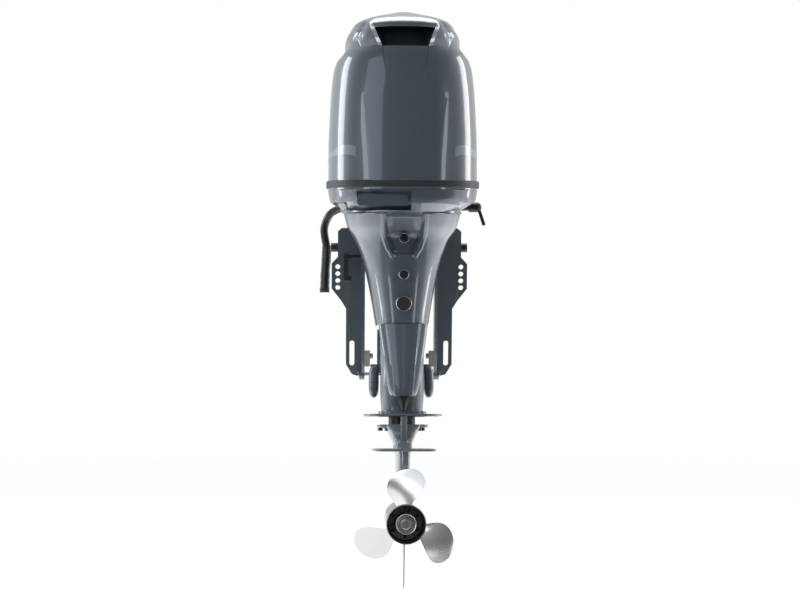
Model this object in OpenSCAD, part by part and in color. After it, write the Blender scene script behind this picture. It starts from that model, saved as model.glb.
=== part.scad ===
// Outboard motor, long shaft, on a bolted transom bracket with power tilt.
// +X is starboard, +Y is forward (towards the boat), +Z is up.
// The origin is the middle of the top row of transom bolt holes, on the face that meets the transom.

/* [Transom bracket] */
// Distance across the boat between the two columns of upper bolt holes
hole_span = 327; // [310:1:340]
// Distance down from one upper bolt hole to the next
hole_pitch = 18.5; // [17:0.5:22]
// Diameter of the upper bolt holes
hole_d = 13; // [9:0.5:15]
// Distance across the boat between the two lower slots
slot_span = 250.8; // [246:0.2:254]
// Distance down from the top bolt hole to the middle of the slots
slot_drop = 232; // [220:1:240]
// Length of the lower slots
slot_len = 68; // [40:1:76]
// Rake of the transom face
transom_rake = 12; // [8:0.5:15]
// Thickness of the bracket's transom flange
flange_t = 10; // [8:0.5:14]
// Thickness of the bracket's side rib
rib_t = 8; // [6:0.5:12]
// Height of the hook's rest above the top bolt hole, along the transom
rest_h = 26; // [20:1:30]

/* [Tilt gear] */
// Outer diameter of the tilt tube
tilt_tube_d = 24; // [22:0.5:28]
// Bore of the tilt tube, for a steering cable
tilt_bore_d = 16; // [14:0.5:18]
// Length of the tilt tube
tilt_tube_len = 364; // [350:2:380]
// Outer diameter of the tilt cylinder
cylinder_d = 36; // [32:1:38]
// Diameter of the tilt ram's rod
ram_d = 18; // [14:1:20]
// Diameter of the tilt ram's pins
ram_pin_d = 12; // [10:0.5:14]

/* [Swivel] */
// Outer diameter of the swivel tube
swivel_d = 56; // [50:1:60]
// Diameter of the steering pivot shaft
pivot_d = 34; // [28:1:38]
// Thickness of the swivel bushes
bush_t = 4; // [3:0.5:5]

/* [Cowl] */
// Width of the top cowl at its rim
cowl_w = 377; // [360:1:400]
// Height of the cowl's top above the top bolt hole
cowl_top = 628; // [580:2:660]
// Wall of both cowls and of the apron
wall = 3.5; // [2.5:0.5:5]
// Height of the rubber band
band_h = 18; // [12:1:22]
// How far the rubber band stands proud of the cowl
band_proud = 5; // [3:0.5:7]

/* [Midsection] */
// Width of the midsection at its foot
mid_w = 110; // [100:1:116]
// Width of the splash plate
splash_w = 196; // [160:2:220]
// Distance from the steering axis back to the driveshaft
drive_back = 110; // [104:1:120]
// Diameter of the driveshaft
driveshaft_d = 20; // [16:1:22]

/* [Lower unit] */
// Depth of the propeller shaft below the top bolt hole
prop_depth = 658; // [640:1:680]
// Width of the anti-ventilation plate
plate_w = 158; // [130:2:190]
// Radius of the gear housing's torpedo
torpedo_r = 46; // [45:0.5:52]
// Depth of the skeg's tip below the propeller shaft
skeg_drop = 167; // [140:1:180]
// Thickness of the skeg
skeg_t = 5.7; // [4:0.1:8]
// Radius of the propeller over its blades
prop_r = 132; // [115:1:136]
// Diameter of the propeller shaft
prop_shaft_d = 17; // [15:0.5:18]
// Radius of the propeller's outer hub at its aft end
hub_r = 47.8; // [46:0.1:52]
// Pitch of the propeller
prop_pitch = 330; // [280:10:380]

/* [Powerhead] */
// Diameter of the flywheel
flywheel_d = 236; // [210:2:244]
// Diameter of the crankshaft's journals
crank_d = 44; // [38:1:46]
// Distance from the crankshaft back to the camshaft
cam_back = 175; // [165:1:180]
// Radius of the cam pulley
cam_pulley_r = 50; // [46:1:54]

/* [Hidden] */
// Clearances
run = 0.05;          // running clearance on a radius
gap = 0.3;           // gap between pieces that only meet
fn = 64;
// Tilt and steering axes
tilt_y = 25;
tilt_z = 53;
swivel_y = -75;
swivel_top = 62;
swivel_foot = -255;
drive_y = swivel_y - drive_back;
prop_z = -prop_depth;
slot_w = hole_d;
// Bracket
rib_x = 92;          // inner face of each side rib
ear_x = hole_span / 2 + 16.5;
low_x = slot_span / 2 + 16;
top_x = hole_span / 2;
arm_x0 = rib_x;
arm_x1 = rib_x + 20;
boss_r = tilt_tube_d / 2 + 8;
// Tilt ram: lower pin on the clamp brackets, upper pin in the swivel bracket
low_pin = [30, -285];
top_pin = [-40, 23];
ram_len = norm(top_pin - low_pin);
ram_lean = atan2(top_pin[0] - low_pin[0], top_pin[1] - low_pin[1]);
window_r = ram_pin_d / 2 + 12;
// Cowls: the parting line falls towards the stern
band_slope = 0.115;
band_mid = 214;
bowl_z = band_mid - 88;
cowl_front = 118;
cowl_aft = -470;
cowl_half = cowl_w / 2;
cable_r = 11;
// Midsection
mid_top = 98;
mid_foot = -388;
guide_top = 148;
seam_z = -168;
splash_z = -400;
flange_z = -420;
plate_z = -483;
rod_y = drive_y + 55;
pan_y = drive_y - 54;
shift_r = 4;
// Powerhead
block_z0 = guide_top;
block_z1 = 430;
belt_z0 = 438;
belt_z1 = 454;
flywheel_z = 470;
crank_pulley_r = 32;
cam_y = drive_y - cam_back;
head_y = drive_y - 145;
head_back = head_y - 62;
cover_y = head_back - 34;
// Gears
gear_big = 24;
gear_small = 13;
pitch_lean = atan(gear_small / gear_big);
cone_out = 36;
cone_in = 24;
gear_face = cone_out * tan(pitch_lean);
cavity_r = 40;
shaft_r = prop_shaft_d / 2;
torpedo_aft = drive_y - 210;
hub_len = 98;
hub_y = torpedo_aft - 3;
nut_y = hub_y - hub_len + 24;
shaft_end = nut_y - 20;

/* ---------- general shapes ---------- */

function spow(v, e) = sign(v) * pow(abs(v), e);

// One level of a shell: height, half width, front, back, squareness and slope along Y
function level(z, w, front, back, n = 3, slope = 0, count = 48) =
    [for (i = [0 : count - 1])
        let (a = 360 * i / count,
             y = (front + back) / 2 + (front - back) / 2 * spow(sin(a), 2 / n))
        [w * spow(cos(a), 2 / n), y, z + slope * y]];

// Closed solid through a stack of levels, lowest first
module loft(levels) {
    count = len(levels[0]);
    top = len(levels) - 1;
    points = [for (ring = levels) each ring];
    foot = [for (j = [0 : count - 1]) j];
    cap = [for (j = [count - 1 : -1 : 0]) top * count + j];
    sides = [for (i = [0 : top - 1], j = [0 : count - 1])
        let (k = (j + 1) % count)
        [i * count + j, (i + 1) * count + j, (i + 1) * count + k, i * count + k]];
    polyhedron(points = points, faces = concat([foot], sides, [cap]), convexity = 6);
}

module tube_z(r_out, r_in, z0, z1) {
    difference() {
        translate([0, 0, z0]) cylinder(r = r_out, h = z1 - z0, $fn = fn);
        translate([0, 0, z0 - 1]) cylinder(r = r_in, h = z1 - z0 + 2, $fn = fn);
    }
}

// Cylinder along X, Y or Z between two places
module rod_x(r, x0, x1) { translate([x0, 0, 0]) rotate([0, 90, 0]) cylinder(r = r, h = x1 - x0, $fn = fn); }
module rod_y(r, y0, y1) { translate([0, y1, 0]) rotate([90, 0, 0]) cylinder(r = r, h = y1 - y0, $fn = fn); }
module rod_z(r, z0, z1) { translate([0, 0, z0]) cylinder(r = r, h = z1 - z0, $fn = fn); }

module block(x0, x1, y0, y1, z0, z1) { translate([x0, y0, z0]) cube([x1 - x0, y1 - y0, z1 - z0]); }

// Box with corners rounded in plan
module round_block(x0, x1, y0, y1, z0, z1, r) {
    translate([0, 0, z0]) linear_extrude(z1 - z0) round_rect(x0, x1, y0, y1, r);
}
module round_rect(x0, x1, y0, y1, r) {
    translate([x0 + r, y0]) square([x1 - x0 - 2 * r, y1 - y0]);
    translate([x0, y0 + r]) square([x1 - x0, y1 - y0 - 2 * r]);
    for (x = [x0 + r, x1 - r], y = [y0 + r, y1 - r]) translate([x, y]) circle(r = r, $fn = 32);
}

module raked() { rotate([transom_rake, 0, 0]) children(); }
// A profile drawn in Y and Z, carried from x0 to x1
module profile_x(x0, x1) { translate([x0, 0, 0]) rotate([90, 0, 90]) linear_extrude(x1 - x0) children(); }

/* ---------- transom bracket ---------- */

module flange_outline() {
    polygon([[rib_x, -297], [99, -297], [low_x - 16, -289], [low_x, -262], [low_x, -112],
        [ear_x - 25, -90], [ear_x, -58], [ear_x, 8], [top_x, 26], [top_x, 94], [top_x - 10, 103], [rib_x, 103]]);
}

module clamp_bracket() {
    difference() {
        union() {
            raked() {
                translate([0, 0, 0]) rotate([90, 0, 0]) linear_extrude(flange_t) flange_outline();
                profile_x(rib_x, rib_x + rib_t)
                    polygon([[0, -297], [0, 103], [-20, 103], [-44, 60], [-58, -60], [-58, -240], [-40, -290], [-25, -297]]);
                // hook over the transom
                block(arm_x0, arm_x1, -flange_t, 52, rest_h, rest_h + 9);
            }
            translate([0, tilt_y, tilt_z]) rod_x(boss_r, arm_x0 - 1, arm_x1 + 1);
            raked() block(arm_x0 + 1, arm_x1 - 1, 1 - flange_t, 26, rest_h, 66);
            translate([0, low_pin[0], low_pin[1]]) rod_x(15, rib_x, rib_x + 14);
        }
        raked() {
            for (row = [0 : 3])
                translate([hole_span / 2, 0, -row * hole_pitch]) rod_y(hole_d / 2, -60, 1);
            rotate([90, 0, 0]) translate([0, 0, -1]) linear_extrude(60)
                translate([slot_span / 2, -slot_drop]) {
                    square([slot_w, slot_len - slot_w], center = true);
                    for (e = [-1, 1]) translate([0, e * (slot_len - slot_w) / 2]) circle(d = slot_w, $fn = fn);
                }
            // nothing reaches past the transom's face or under the hook
            block(rib_x - 1, ear_x + 9, 0, 80, -400, rest_h);
        }
        translate([0, tilt_y, tilt_z]) rod_x(tilt_tube_d / 2 + run, 0, ear_x + 9);
        translate([0, low_pin[0], low_pin[1]]) rod_x(ram_pin_d / 2 + run, 0, ear_x);
    }
}

module clamp_bracket_starboard() color([0.20, 0.25, 0.32]) clamp_bracket();
module clamp_bracket_port() color([0.20, 0.25, 0.32]) mirror([1, 0, 0]) clamp_bracket();

module tilt_tube() color([0.12, 0.12, 0.13])
    translate([0, tilt_y, tilt_z]) difference() {
        rod_x(tilt_tube_d / 2, -tilt_tube_len / 2, tilt_tube_len / 2);
        rod_x(tilt_bore_d / 2, -tilt_tube_len, tilt_tube_len);
    }

module tilt_tube_nuts() color([0.55, 0.56, 0.58])
    for (s = [-1, 1]) translate([s * (arm_x1 + gap + 7), tilt_y, tilt_z]) rotate([0, 90, 0]) difference() {
        cylinder(r = 21, h = 12, center = true, $fn = 6);
        cylinder(r = tilt_tube_d / 2 + run, h = 14, center = true, $fn = fn);
    }

module cylinder_pin() color([0.62, 0.63, 0.65])
    translate([0, low_pin[0], low_pin[1]]) {
        rod_x(ram_pin_d / 2, -rib_x - 14, rib_x + 14);
        for (s = [-1, 1]) translate([s * (rib_x + 14 + gap + 2), 0, 0]) rod_x(10, -2, 2);
        for (s = [-1, 1]) translate([s * (rib_x + 14 + 1), 0, 0]) rod_x(5, -1, 1);
    }

// Sacrificial anodes on the inner faces of the ribs
module bracket_anodes() color([0.72, 0.70, 0.66])
    for (s = [-1, 1]) {
        block(s > 0 ? rib_x - 14 : -rib_x, s > 0 ? rib_x : 14 - rib_x, -16, 14, -266, -224);
        translate([s * (rib_x - 18), -1, -238]) rod_x(7, -4, 4);
    }

lever_y = -52;
lever_z = 20;
module tilt_support_lever() color([0.06, 0.06, 0.07])
    translate([0, lever_y, lever_z]) {
        rod_x(6, -148, -rib_x - rib_t - gap);
        translate([-148, 0, 0]) rod_x(11, 0, 12);
        profile_x(-148, -136) polygon([[-9, 0], [9, 0], [7, -58], [0, -64], [-7, -58]]);
        translate([-148, 0, -58]) rod_x(8, 0, 20);
    }

/* ---------- swivel ---------- */

module swivel_bracket() color([0.17, 0.21, 0.27]) difference() {
    union() {
        translate([0, tilt_y, tilt_z]) rod_x(boss_r + 2, -rib_x + 1 + gap, rib_x - 1 - gap);
        translate([0, swivel_y, 0]) rod_z(swivel_d / 2, swivel_foot, swivel_top);
        // cheeks from the tilt boss back to the swivel tube
        for (s = [-1, 1]) profile_x(s > 0 ? 22 : -34, s > 0 ? 34 : -22)
            polygon([[tilt_y, tilt_z + 22], [swivel_y, swivel_top], [swivel_y - 20, 20],
                [swivel_y - 16, -110], [swivel_y + 6, -110], [-62, -20], [-12, 8], [tilt_y, tilt_z - 22]]);
        profile_x(-34, 34) polygon([[tilt_y - 14, tilt_z + 16], [swivel_y, swivel_top], [swivel_y, swivel_top - 10],
            [tilt_y - 14, tilt_z + 4]]);
        for (s = [-1, 1]) translate([0, top_pin[0], top_pin[1]])
            rod_x(window_r + 6, s > 0 ? 22 : -34, s > 0 ? 34 : -22);
    }
    translate([0, tilt_y, tilt_z]) rod_x(tilt_tube_d / 2 + run, -rib_x - 5, rib_x + 5);
    translate([0, swivel_y, 0]) rod_z(pivot_d / 2 + 1, swivel_foot - 1, swivel_top + 8);
    for (z = [swivel_foot - 1, swivel_top - 30])
        translate([0, swivel_y, 0]) rod_z(pivot_d / 2 + bush_t + run, z, z + 31);
    translate([0, top_pin[0], top_pin[1]]) rod_x(window_r, -60, 60);
    // room for the ram's head between the cheeks
    profile_x(-21.8, 21.8) polygon([[-46 - window_r, top_pin[1] - 24], [top_pin[0] - window_r + 6, top_pin[1] + 19],
        [top_pin[0] + window_r, top_pin[1] + 21], [tilt_y - boss_r - 4, tilt_z - 16], [0, -130], [-46, -130]]);
}

module swivel_bushes() color([0.85, 0.83, 0.76])
    for (z = [swivel_foot, swivel_top - 29.5]) translate([0, swivel_y, 0])
        tube_z(pivot_d / 2 + bush_t, pivot_d / 2 + run, z, z + 29.5);

// Everything on the ram is drawn along its own line, from the lower pin up
module on_ram() { translate([0, low_pin[0], low_pin[1]]) rotate([-ram_lean, 0, 0]) children(); }
barrel_top = 214;

module tilt_cylinder() color([0.15, 0.18, 0.22]) on_ram() difference() {
    union() {
        rod_x(14, -20, 20);
        rod_z(cylinder_d / 2, 8, barrel_top);
        rod_z(cylinder_d / 2 + 2, barrel_top - 22, barrel_top);
        // pump, its motor and the fluid tank beside the barrel
        translate([44, 0, 0]) rod_z(20, 26, 150);
        translate([-42, 0, 0]) rod_z(17, 26, 120);
        block(-50, 54, -12, 12, 24, 52);
    }
    rod_x(ram_pin_d / 2 + run, -30, 30);
    rod_z(ram_d / 2 + run, 40, barrel_top + 1);
    rod_z(cylinder_d / 2 - 4, 30, barrel_top - 12);
}

module tilt_ram() color([0.80, 0.81, 0.83]) on_ram() difference() {
    union() {
        rod_z(ram_d / 2, 92, ram_len - 8);
        rod_z(cylinder_d / 2 - 4 - run, 84, 100);
        translate([0, 0, ram_len]) rod_x(14, -18, 18);
    }
    translate([0, 0, ram_len]) rod_x(ram_pin_d / 2 + run, -30, 30);
}

module ram_pin() color([0.62, 0.63, 0.65]) on_ram() translate([0, 0, ram_len]) rod_x(ram_pin_d / 2, -33, 33);

/* ---------- steered frame ---------- */

arm_hole_y = 195;
// The pivot shaft with its mount bar, and the arm that bolts against the bar and reaches
// forward over the tilt tube
module steering_arm_shaft() color([0.10, 0.11, 0.13]) {
    translate([0, swivel_y, 0]) rod_z(pivot_d / 2, swivel_foot - 34, swivel_top + 40);
    translate([0, swivel_y, 0]) rod_z(pivot_d / 2 + 8, swivel_top + 8, arm_z);
    block(-42, 42, swivel_y - 40, swivel_y, arm_z - 7, arm_z + 12);
    steering_arm();
}
arm_z = swivel_top + 15;
module steering_arm() difference() {
    translate([0, 0, arm_z + run]) linear_extrude(12 - run) {
        polygon([[-26, swivel_y + gap], [26, swivel_y + gap], [15, 100], [13, arm_hole_y], [-13, arm_hole_y], [-15, 100]]);
        translate([0, arm_hole_y]) circle(r = 13, $fn = fn);
    }
    translate([0, swivel_y, 0]) rod_z(pivot_d / 2 + run, 0, 200);
    translate([0, arm_hole_y, 0]) rod_z(4.8, 0, 140);
}

module lower_mount_yoke() color([0.17, 0.21, 0.27]) difference() {
    union() {
        translate([0, swivel_y, 0]) rod_z(pivot_d / 2 + 12, swivel_foot - 34, swivel_foot - 4);
        for (s = [-1, 1]) translate([0, swivel_y, 0])
            block(s > 0 ? 12 : -78, s > 0 ? 78 : -12, -16, 8, swivel_foot - 32, swivel_foot - 8);
    }
    translate([0, swivel_y, 0]) rod_z(pivot_d / 2 + run, swivel_foot - 40, swivel_foot);
}

mount_x = 70;
// Rubber bushes between the steered frame and the midsection, two above and two below
module rubber_mounts() color([0.05, 0.05, 0.05])
    for (s = [-1, 1]) {
        translate([s * 26, 0, swivel_top + 17.5]) rod_y(9, swivel_y - 62, swivel_y - 40);
        translate([s * mount_x, 0, swivel_foot - 20]) rod_y(8, swivel_y - 44, swivel_y - 16);
    }

module lower_mount_covers() color([0.13, 0.16, 0.20])
    for (s = [-1, 1]) difference() {
        round_block(s > 0 ? 57 : -84, s > 0 ? 84 : -57, swivel_y - 92, swivel_y - 30, -352, -268, 10);
        translate([s * mount_x, 0, swivel_foot - 20]) rod_y(8 + gap, swivel_y - 46, swivel_y);
    }

// Half widths of the midsection, from the top flange to the foot
mid_levels = [
    level(mid_foot, mid_w / 2 - 3, -118, -262, 2.8),
    level(-345, mid_w / 2, -118, -268, 2.8),
    level(-250, mid_w / 2, -118, -278, 2.8),
    level(seam_z, mid_w / 2 + 1, -118, -286, 2.8),
    level(0, 62, -118, -296, 2.8),
    level(70, 80, -118, -310, 3),
    level(mid_top, 92, -116, -322, 3.4)];
function shrink(ring, t, cx = 0, cy = -198) = [for (p = ring)
    let (v = [p[0] - cx, p[1] - cy], r = norm(v)) [cx + v[0] * (r - t) / r, cy + v[1] * (r - t) / r, p[2]]];

module midsection() color([0.30, 0.34, 0.40]) difference() {
    union() {
        loft(mid_levels);
        translate([0, 0, splash_z]) linear_extrude(6) polygon([[-splash_w / 2 + 26, -100], [splash_w / 2 - 26, -100],
            [splash_w / 2, -140], [splash_w / 2, -285], [splash_w / 2 - 20, -318], [-splash_w / 2 + 20, -318],
            [-splash_w / 2, -285], [-splash_w / 2, -140]]);
        round_block(-60, 60, -270, -112, splash_z, mid_foot + 1, 30);
    }
    difference() {
        loft([for (ring = mid_levels) shrink(ring, 7)]);
        block(-120, 120, -400, 0, mid_foot - 1, mid_foot + 6);
        block(-120, 120, -400, 0, mid_top - 8, mid_top + 1);
    }
    translate([0, drive_y, 0]) rod_z(driveshaft_d / 2 + 3, splash_z - 1, mid_top + 1);
    translate([0, drive_y, 0]) rod_z(36, splash_z - 1, mid_foot + 8);
    translate([0, rod_y, 0]) rod_z(shift_r + gap, splash_z - 1, mid_top + 1);
    translate([0, pan_y, 0]) round_block(-30 - gap, 30 + gap, -20 - gap, 20 + gap, mid_top - 10, mid_top + 1, 7 + gap);
    translate([0, pan_y, 0]) rod_z(12 + gap, splash_z - 1, mid_foot + 8);
    for (s = [-1, 1]) translate([s * 26, 0, swivel_top + 17.5]) rod_y(9 + gap, swivel_y - 62 - gap, swivel_y);
}

// Tapering cover behind the midsection, from the apron's seam to the splash plate
module lower_rear_cover() color([0.19, 0.24, 0.31]) difference() {
    loft([
        level(mid_foot + 2, 6, -266, -318, 2.2),
        level(-362, 14, -262, -322, 2.4),
        level(-345, 34, -255, -324, 2.6),
        level(-290, 45, -250, -322, 2.6),
        level(-230, 54, -245, -318, 2.6),
        level(seam_z - 2, 62, -240, -314, 2.6)]);
    loft([moved(mid_levels[0], -8, gap), moved(mid_levels[0], 0, gap), moved(mid_levels[1], 0, gap),
        moved(mid_levels[2], 0, gap), moved(mid_levels[3], 0, gap), moved(mid_levels[3], 8, gap)]);
}

apron_levels = [
    level(seam_z, 67, -20, -316, 2.6, 0),
    level(-107, 77, -10, -322, 2.6, 0),
    level(-31, 92, 10, -334, 2.6, 0),
    level(45, 115, 40, -352, 2.6, 0.02),
    level(100, 140, 60, -386, 2.8, 0.08),
    level(bowl_z + 15, 149, 68, -411.5, 3, band_slope)];
module apron() color([0.20, 0.25, 0.32]) difference() {
    loft(apron_levels);
    loft([for (i = [0 : len(apron_levels) - 1]) let (ring = shrink(apron_levels[i], wall))
        i == 0 ? [for (p = ring) [p[0], p[1], p[2] - 1]] : i == len(apron_levels) - 1 ? [for (p = ring) [p[0], p[1], p[2] + 1]] : ring]);
    // open towards the boat
    block(-200, 200, -145, 100, -400, 200);
    translate([0, 0, 40]) rotate([90, 0, 0]) linear_extrude(500) oval(10.5, 7);
    translate([0, 0, -49]) rod_y(7 + gap, -400, -300);
    translate([0, 0, -121]) rod_y(15 + gap, -400, -300);
}
module oval(a, b) {
    for (s = [-1, 1]) translate([s * (a - b), 0]) circle(r = b, $fn = 32);
    square([2 * (a - b), 2 * b], center = true);
}

module pilot_outlet() color([0.05, 0.05, 0.05]) translate([0, 0, 40]) rotate([90, 0, 0])
    translate([0, 0, 334]) linear_extrude(22) difference() {
        oval(10.2, 6.7);
        circle(r = 2.5, $fn = fn);
    }

module flush_plug() color([0.07, 0.07, 0.08]) translate([0, 0, -49]) {
    rod_y(7, -338, -318);
    rod_y(10, -342, -338);
}

module idle_exhaust_plug() color([0.05, 0.05, 0.05]) translate([0, 0, -121]) {
    rod_y(15, -330, -310);
    rod_y(16.5, -334, -328);
}

band_ring = level(band_mid, cowl_half, cowl_front, cowl_aft, 3.2, band_slope);
function moved(ring, dz, dw = 0) = [for (p = shrink(ring, -dw)) [p[0], p[1], p[2] + dz]];
function lower_cowl_levels(t) = [
    shrink(level(bowl_z, 110, 30, -370, 3, band_slope), t),
    shrink(level(bowl_z + 9, 130, 50, -395, 3, band_slope), t),
    shrink(level(bowl_z + 17, 148, 68, -412, 3, band_slope), t),
    shrink(level(bowl_z + 32, 172, 88, -438, 3.1, band_slope), t),
    shrink(level(bowl_z + 42, 183, 102, -454, 3.2, band_slope), t),
    shrink(level(band_mid - 14, 190, cowl_front, cowl_aft, 3.2, band_slope), t)];

module bottom_cowl() color([0.20, 0.25, 0.32]) difference() {
    loft(lower_cowl_levels(0));
    difference() {
        loft([for (r = lower_cowl_levels(wall)) [for (p = r) p + [0, 0, wall]]]);
        block(-124, 20, -480, -426, 0, 300);
    }
    // well for the exhaust guide
    block(-100 - gap, 100 + gap, drive_y - 145 - gap, -80 + gap, 0, 300);
    translate([0, swivel_y, 0]) rod_z(50, 60, 300);
    // recess for the latch, open below for the lever's swing
    block(-118, 14, -500, -432, 60, 143);
    translate([latch_x, 0, latch_z]) rod_y(5 + run, -500, -400);
    // cable ways
    translate([-150, 0, 158]) rod_y(cable_r + gap, -60, 140);
    // fuel connector
    translate([0, fuel_y, fuel_z]) rod_x(9 + gap, 100, 220);
    // tilt switch
    block(180, 200, -150, -118, 157, 179);
}

module rubber_band() color([0.09, 0.085, 0.08]) difference() {
    loft([moved(band_ring, -band_h / 2, 1.5), moved(band_ring, -band_h / 2 + 4, band_proud),
        moved(band_ring, band_h / 2 - 4, band_proud), moved(band_ring, band_h / 2, 1.5)]);
    loft([moved(band_ring, -band_h, gap), moved(band_ring, band_h, gap)]);
}

cowl_levels = [
    level(band_mid - 14 + gap, cowl_half, cowl_front, cowl_aft, 3.2, band_slope),
    level(300, cowl_half, cowl_front - 4, cowl_aft, 3.2, band_slope * 0.6),
    level(369, cowl_half - 3, 106, cowl_aft + 1, 3.2, band_slope * 0.3),
    level(416, cowl_half - 6, 98, -467, 3.1, 0),
    level(463, cowl_half - 10.5, 86, -462, 3, 0),
    level(494, cowl_half - 18.5, 72, -457, 2.9, 0.005),
    level(cowl_top - 110, 155, 56, -449, 2.8, 0.012),
    level(cowl_top - 94, 148.5, 40, -441, 2.8, 0.02),
    level(cowl_top - 66, 146, 10, -428, 2.8, 0.032),
    level(cowl_top - 44, 136, -20, -418, 2.7, 0.045),
    level(cowl_top - 24, 125, -56, -404, 2.6, 0.06),
    level(cowl_top - 4, 102, -100, -384, 2.5, 0.085),
    level(cowl_top + 15, 32, -150, -345, 2.4, 0.1)];

module intake_mouth(extra = 0, depth = 62) {
    translate([0, -400, 0]) rotate([90, 0, 0]) translate([0, 0, -depth + 62]) linear_extrude(120)
        polygon([[-59 - extra, cowl_top - 126 - extra], [59 + extra, cowl_top - 126 - extra],
            [79 + extra, cowl_top - 71 + extra], [-79 - extra, cowl_top - 71 + extra]]);
}

module top_cowl() color([0.20, 0.25, 0.32]) difference() {
    loft(cowl_levels);
    difference() {
        loft([for (i = [0 : len(cowl_levels) - 1]) let (ring = shrink(cowl_levels[i], wall, 0, -176))
            [for (p = ring) [p[0], p[1], p[2] - (i == 0 ? 2 : i > 5 ? wall : 0)]]]);
        intersection() {
            intake_mouth(wall, 62);
            block(-200, 200, -500, -400, 0, 700);
        }
    }
    intake_mouth(0, 58);
}

latch_x = -8;
latch_z = 124;
module latch_lever() color([0.20, 0.25, 0.32]) {
    round_y(-116, latch_x + 14, -446, -438, latch_z - 14, latch_z + 14, 6);
    translate([latch_x, 0, latch_z]) rod_y(5, -440, -412);
    block(latch_x - 6, latch_x + 6, -414, -410, latch_z - 6, latch_z + 28);
}
module round_y(x0, x1, y0, y1, z0, z1, r) {
    translate([0, y1, 0]) rotate([90, 0, 0]) linear_extrude(y1 - y0) round_rect(x0, x1, z0, z1, r);
}

module tilt_switch() color([0.05, 0.05, 0.05]) translate([186, -134, 168]) {
    rod_y(5, -13, 13);
    block(-5 + gap, 5, -12, 12, -8, 8);
}

fuel_y = -60;
fuel_z = 152;
module fuel_connector() color([0.05, 0.05, 0.05]) translate([0, fuel_y, fuel_z]) {
    rod_x(9, 140, 182);
    rod_x(13, 181, 202);
    translate([202, 0, 0]) sphere(r = 13, $fn = fn);
    translate([206, 0, 0]) rotate([0, 162, 0]) rod_z(4.5, 0, 50);
}

// Bolts that hold the gear housing up to the midsection
module gearcase_bolts() color([0.10, 0.10, 0.11])
    for (s = [-1, 1], place = [[54, -150], [40, -282]])
        translate([s * place[0], place[1], 0]) cylinder_hex(6.5, flange_z - 16, flange_z - 8);
module cylinder_hex(r, z0, z1) { translate([0, 0, z0]) cylinder(r = r, h = z1 - z0, $fn = 6); }

/* ---------- powerhead ---------- */

module exhaust_guide() color([0.42, 0.43, 0.45]) difference() {
    union() {
        block(-100, 100, drive_y - 145, -80, mid_top + 20, guide_top);
        block(-88, 88, -310, -122, mid_top, mid_top + 20);
    }
    translate([0, drive_y, 0]) rod_z(driveshaft_d / 2 + 3, 0, 300);
    translate([0, rod_y, 0]) rod_z(shift_r + gap, 0, 300);
    translate([0, pan_y, 0]) rod_z(9, 0, 300);
    block(-10, 30, rod_y - 15, rod_y + 15, mid_top + 32, guide_top + 1);
    translate([0, swivel_y, 0]) rod_z(40, 0, 300);
}

module cylinder_block() color([0.50, 0.51, 0.53]) difference() {
    union() {
        block(-80, 80, head_y, drive_y + 20, block_z0, block_z1);
        block(-95, 95, drive_y - 60, drive_y + 90, block_z0, block_z1 - 10);
        for (z = [190 : 60 : 370]) block(-88, 88, head_y, drive_y, z - 4, z + 4);
    }
    translate([0, drive_y, 0]) rod_z(crank_d / 2 + run, 0, 600);
    for (z = [185, 247, 309, 371]) {
        translate([0, 0, z]) rod_y(30, head_y - 1, drive_y - 30);
        translate([0, drive_y, 0]) rod_z(58, z - 16, z + 16);
    }
}

module cylinder_head() color([0.46, 0.47, 0.49]) difference() {
    block(-78, 78, head_back, head_y, block_z0 + 6, block_z1 - 4);
    translate([0, cam_y, 0]) rod_z(12 + run, 0, 600);
}

module head_cover() color([0.10, 0.10, 0.11]) difference() {
    block(-62, 62, cover_y, head_back, block_z0 + 14, block_z1 - 14);
    for (z = [185, 247, 309, 371]) translate([30, 0, z]) rod_y(11 + gap, cover_y - 1, head_back + 1);
}

module spark_coils() color([0.04, 0.04, 0.05])
    for (z = [185, 247, 309, 371]) translate([30, 0, z]) {
        rod_y(11, cover_y - 12, head_back - gap);
        block(-14, 14, cover_y - 18, cover_y - 12, -12, 12);
    }

module crankshaft() color([0.62, 0.63, 0.65]) translate([0, drive_y, 0]) {
    rod_z(crank_d / 2, block_z0 + gap, belt_z0 - 2);
    rod_z(crank_pulley_r, belt_z0, belt_z1);
    rod_z(crank_pulley_r + 4, belt_z0 - 3, belt_z0);
    rod_z(16, belt_z1, flywheel_z);
    for (i = [0 : 3]) let (z = [185, 247, 309, 371][i], s = i == 0 || i == 3 ? 1 : -1)
        for (dz = [-13, 9]) translate([0, s * 8, z + dz]) rod_z(44, 0, 6);
}

module flywheel() color([0.35, 0.36, 0.38]) translate([0, drive_y, 0]) {
    difference() {
        rod_z(flywheel_d / 2, flywheel_z, flywheel_z + 24);
        rod_z(flywheel_d / 2 - 14, flywheel_z - 1, flywheel_z + 14);
        for (a = [0 : 60 : 300]) rotate([0, 0, a]) translate([66, 0, 0]) rod_z(12, flywheel_z, flywheel_z + 30);
    }
    rod_z(30, flywheel_z, flywheel_z + 15);
    rod_z(18, flywheel_z + 24, flywheel_z + 32);
}

module camshaft() color([0.55, 0.56, 0.58]) translate([0, cam_y, 0]) {
    rod_z(12, block_z0 + 20, belt_z0);
    rod_z(cam_pulley_r + 3, belt_z0 - 3, belt_z0);
    difference() {
        rod_z(cam_pulley_r, belt_z0, belt_z1);
        for (a = [0 : 72 : 288]) rotate([0, 0, a]) translate([28, 0, 0]) rod_z(8, belt_z0 - 4, belt_z1 + 1);
    }
}

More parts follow.
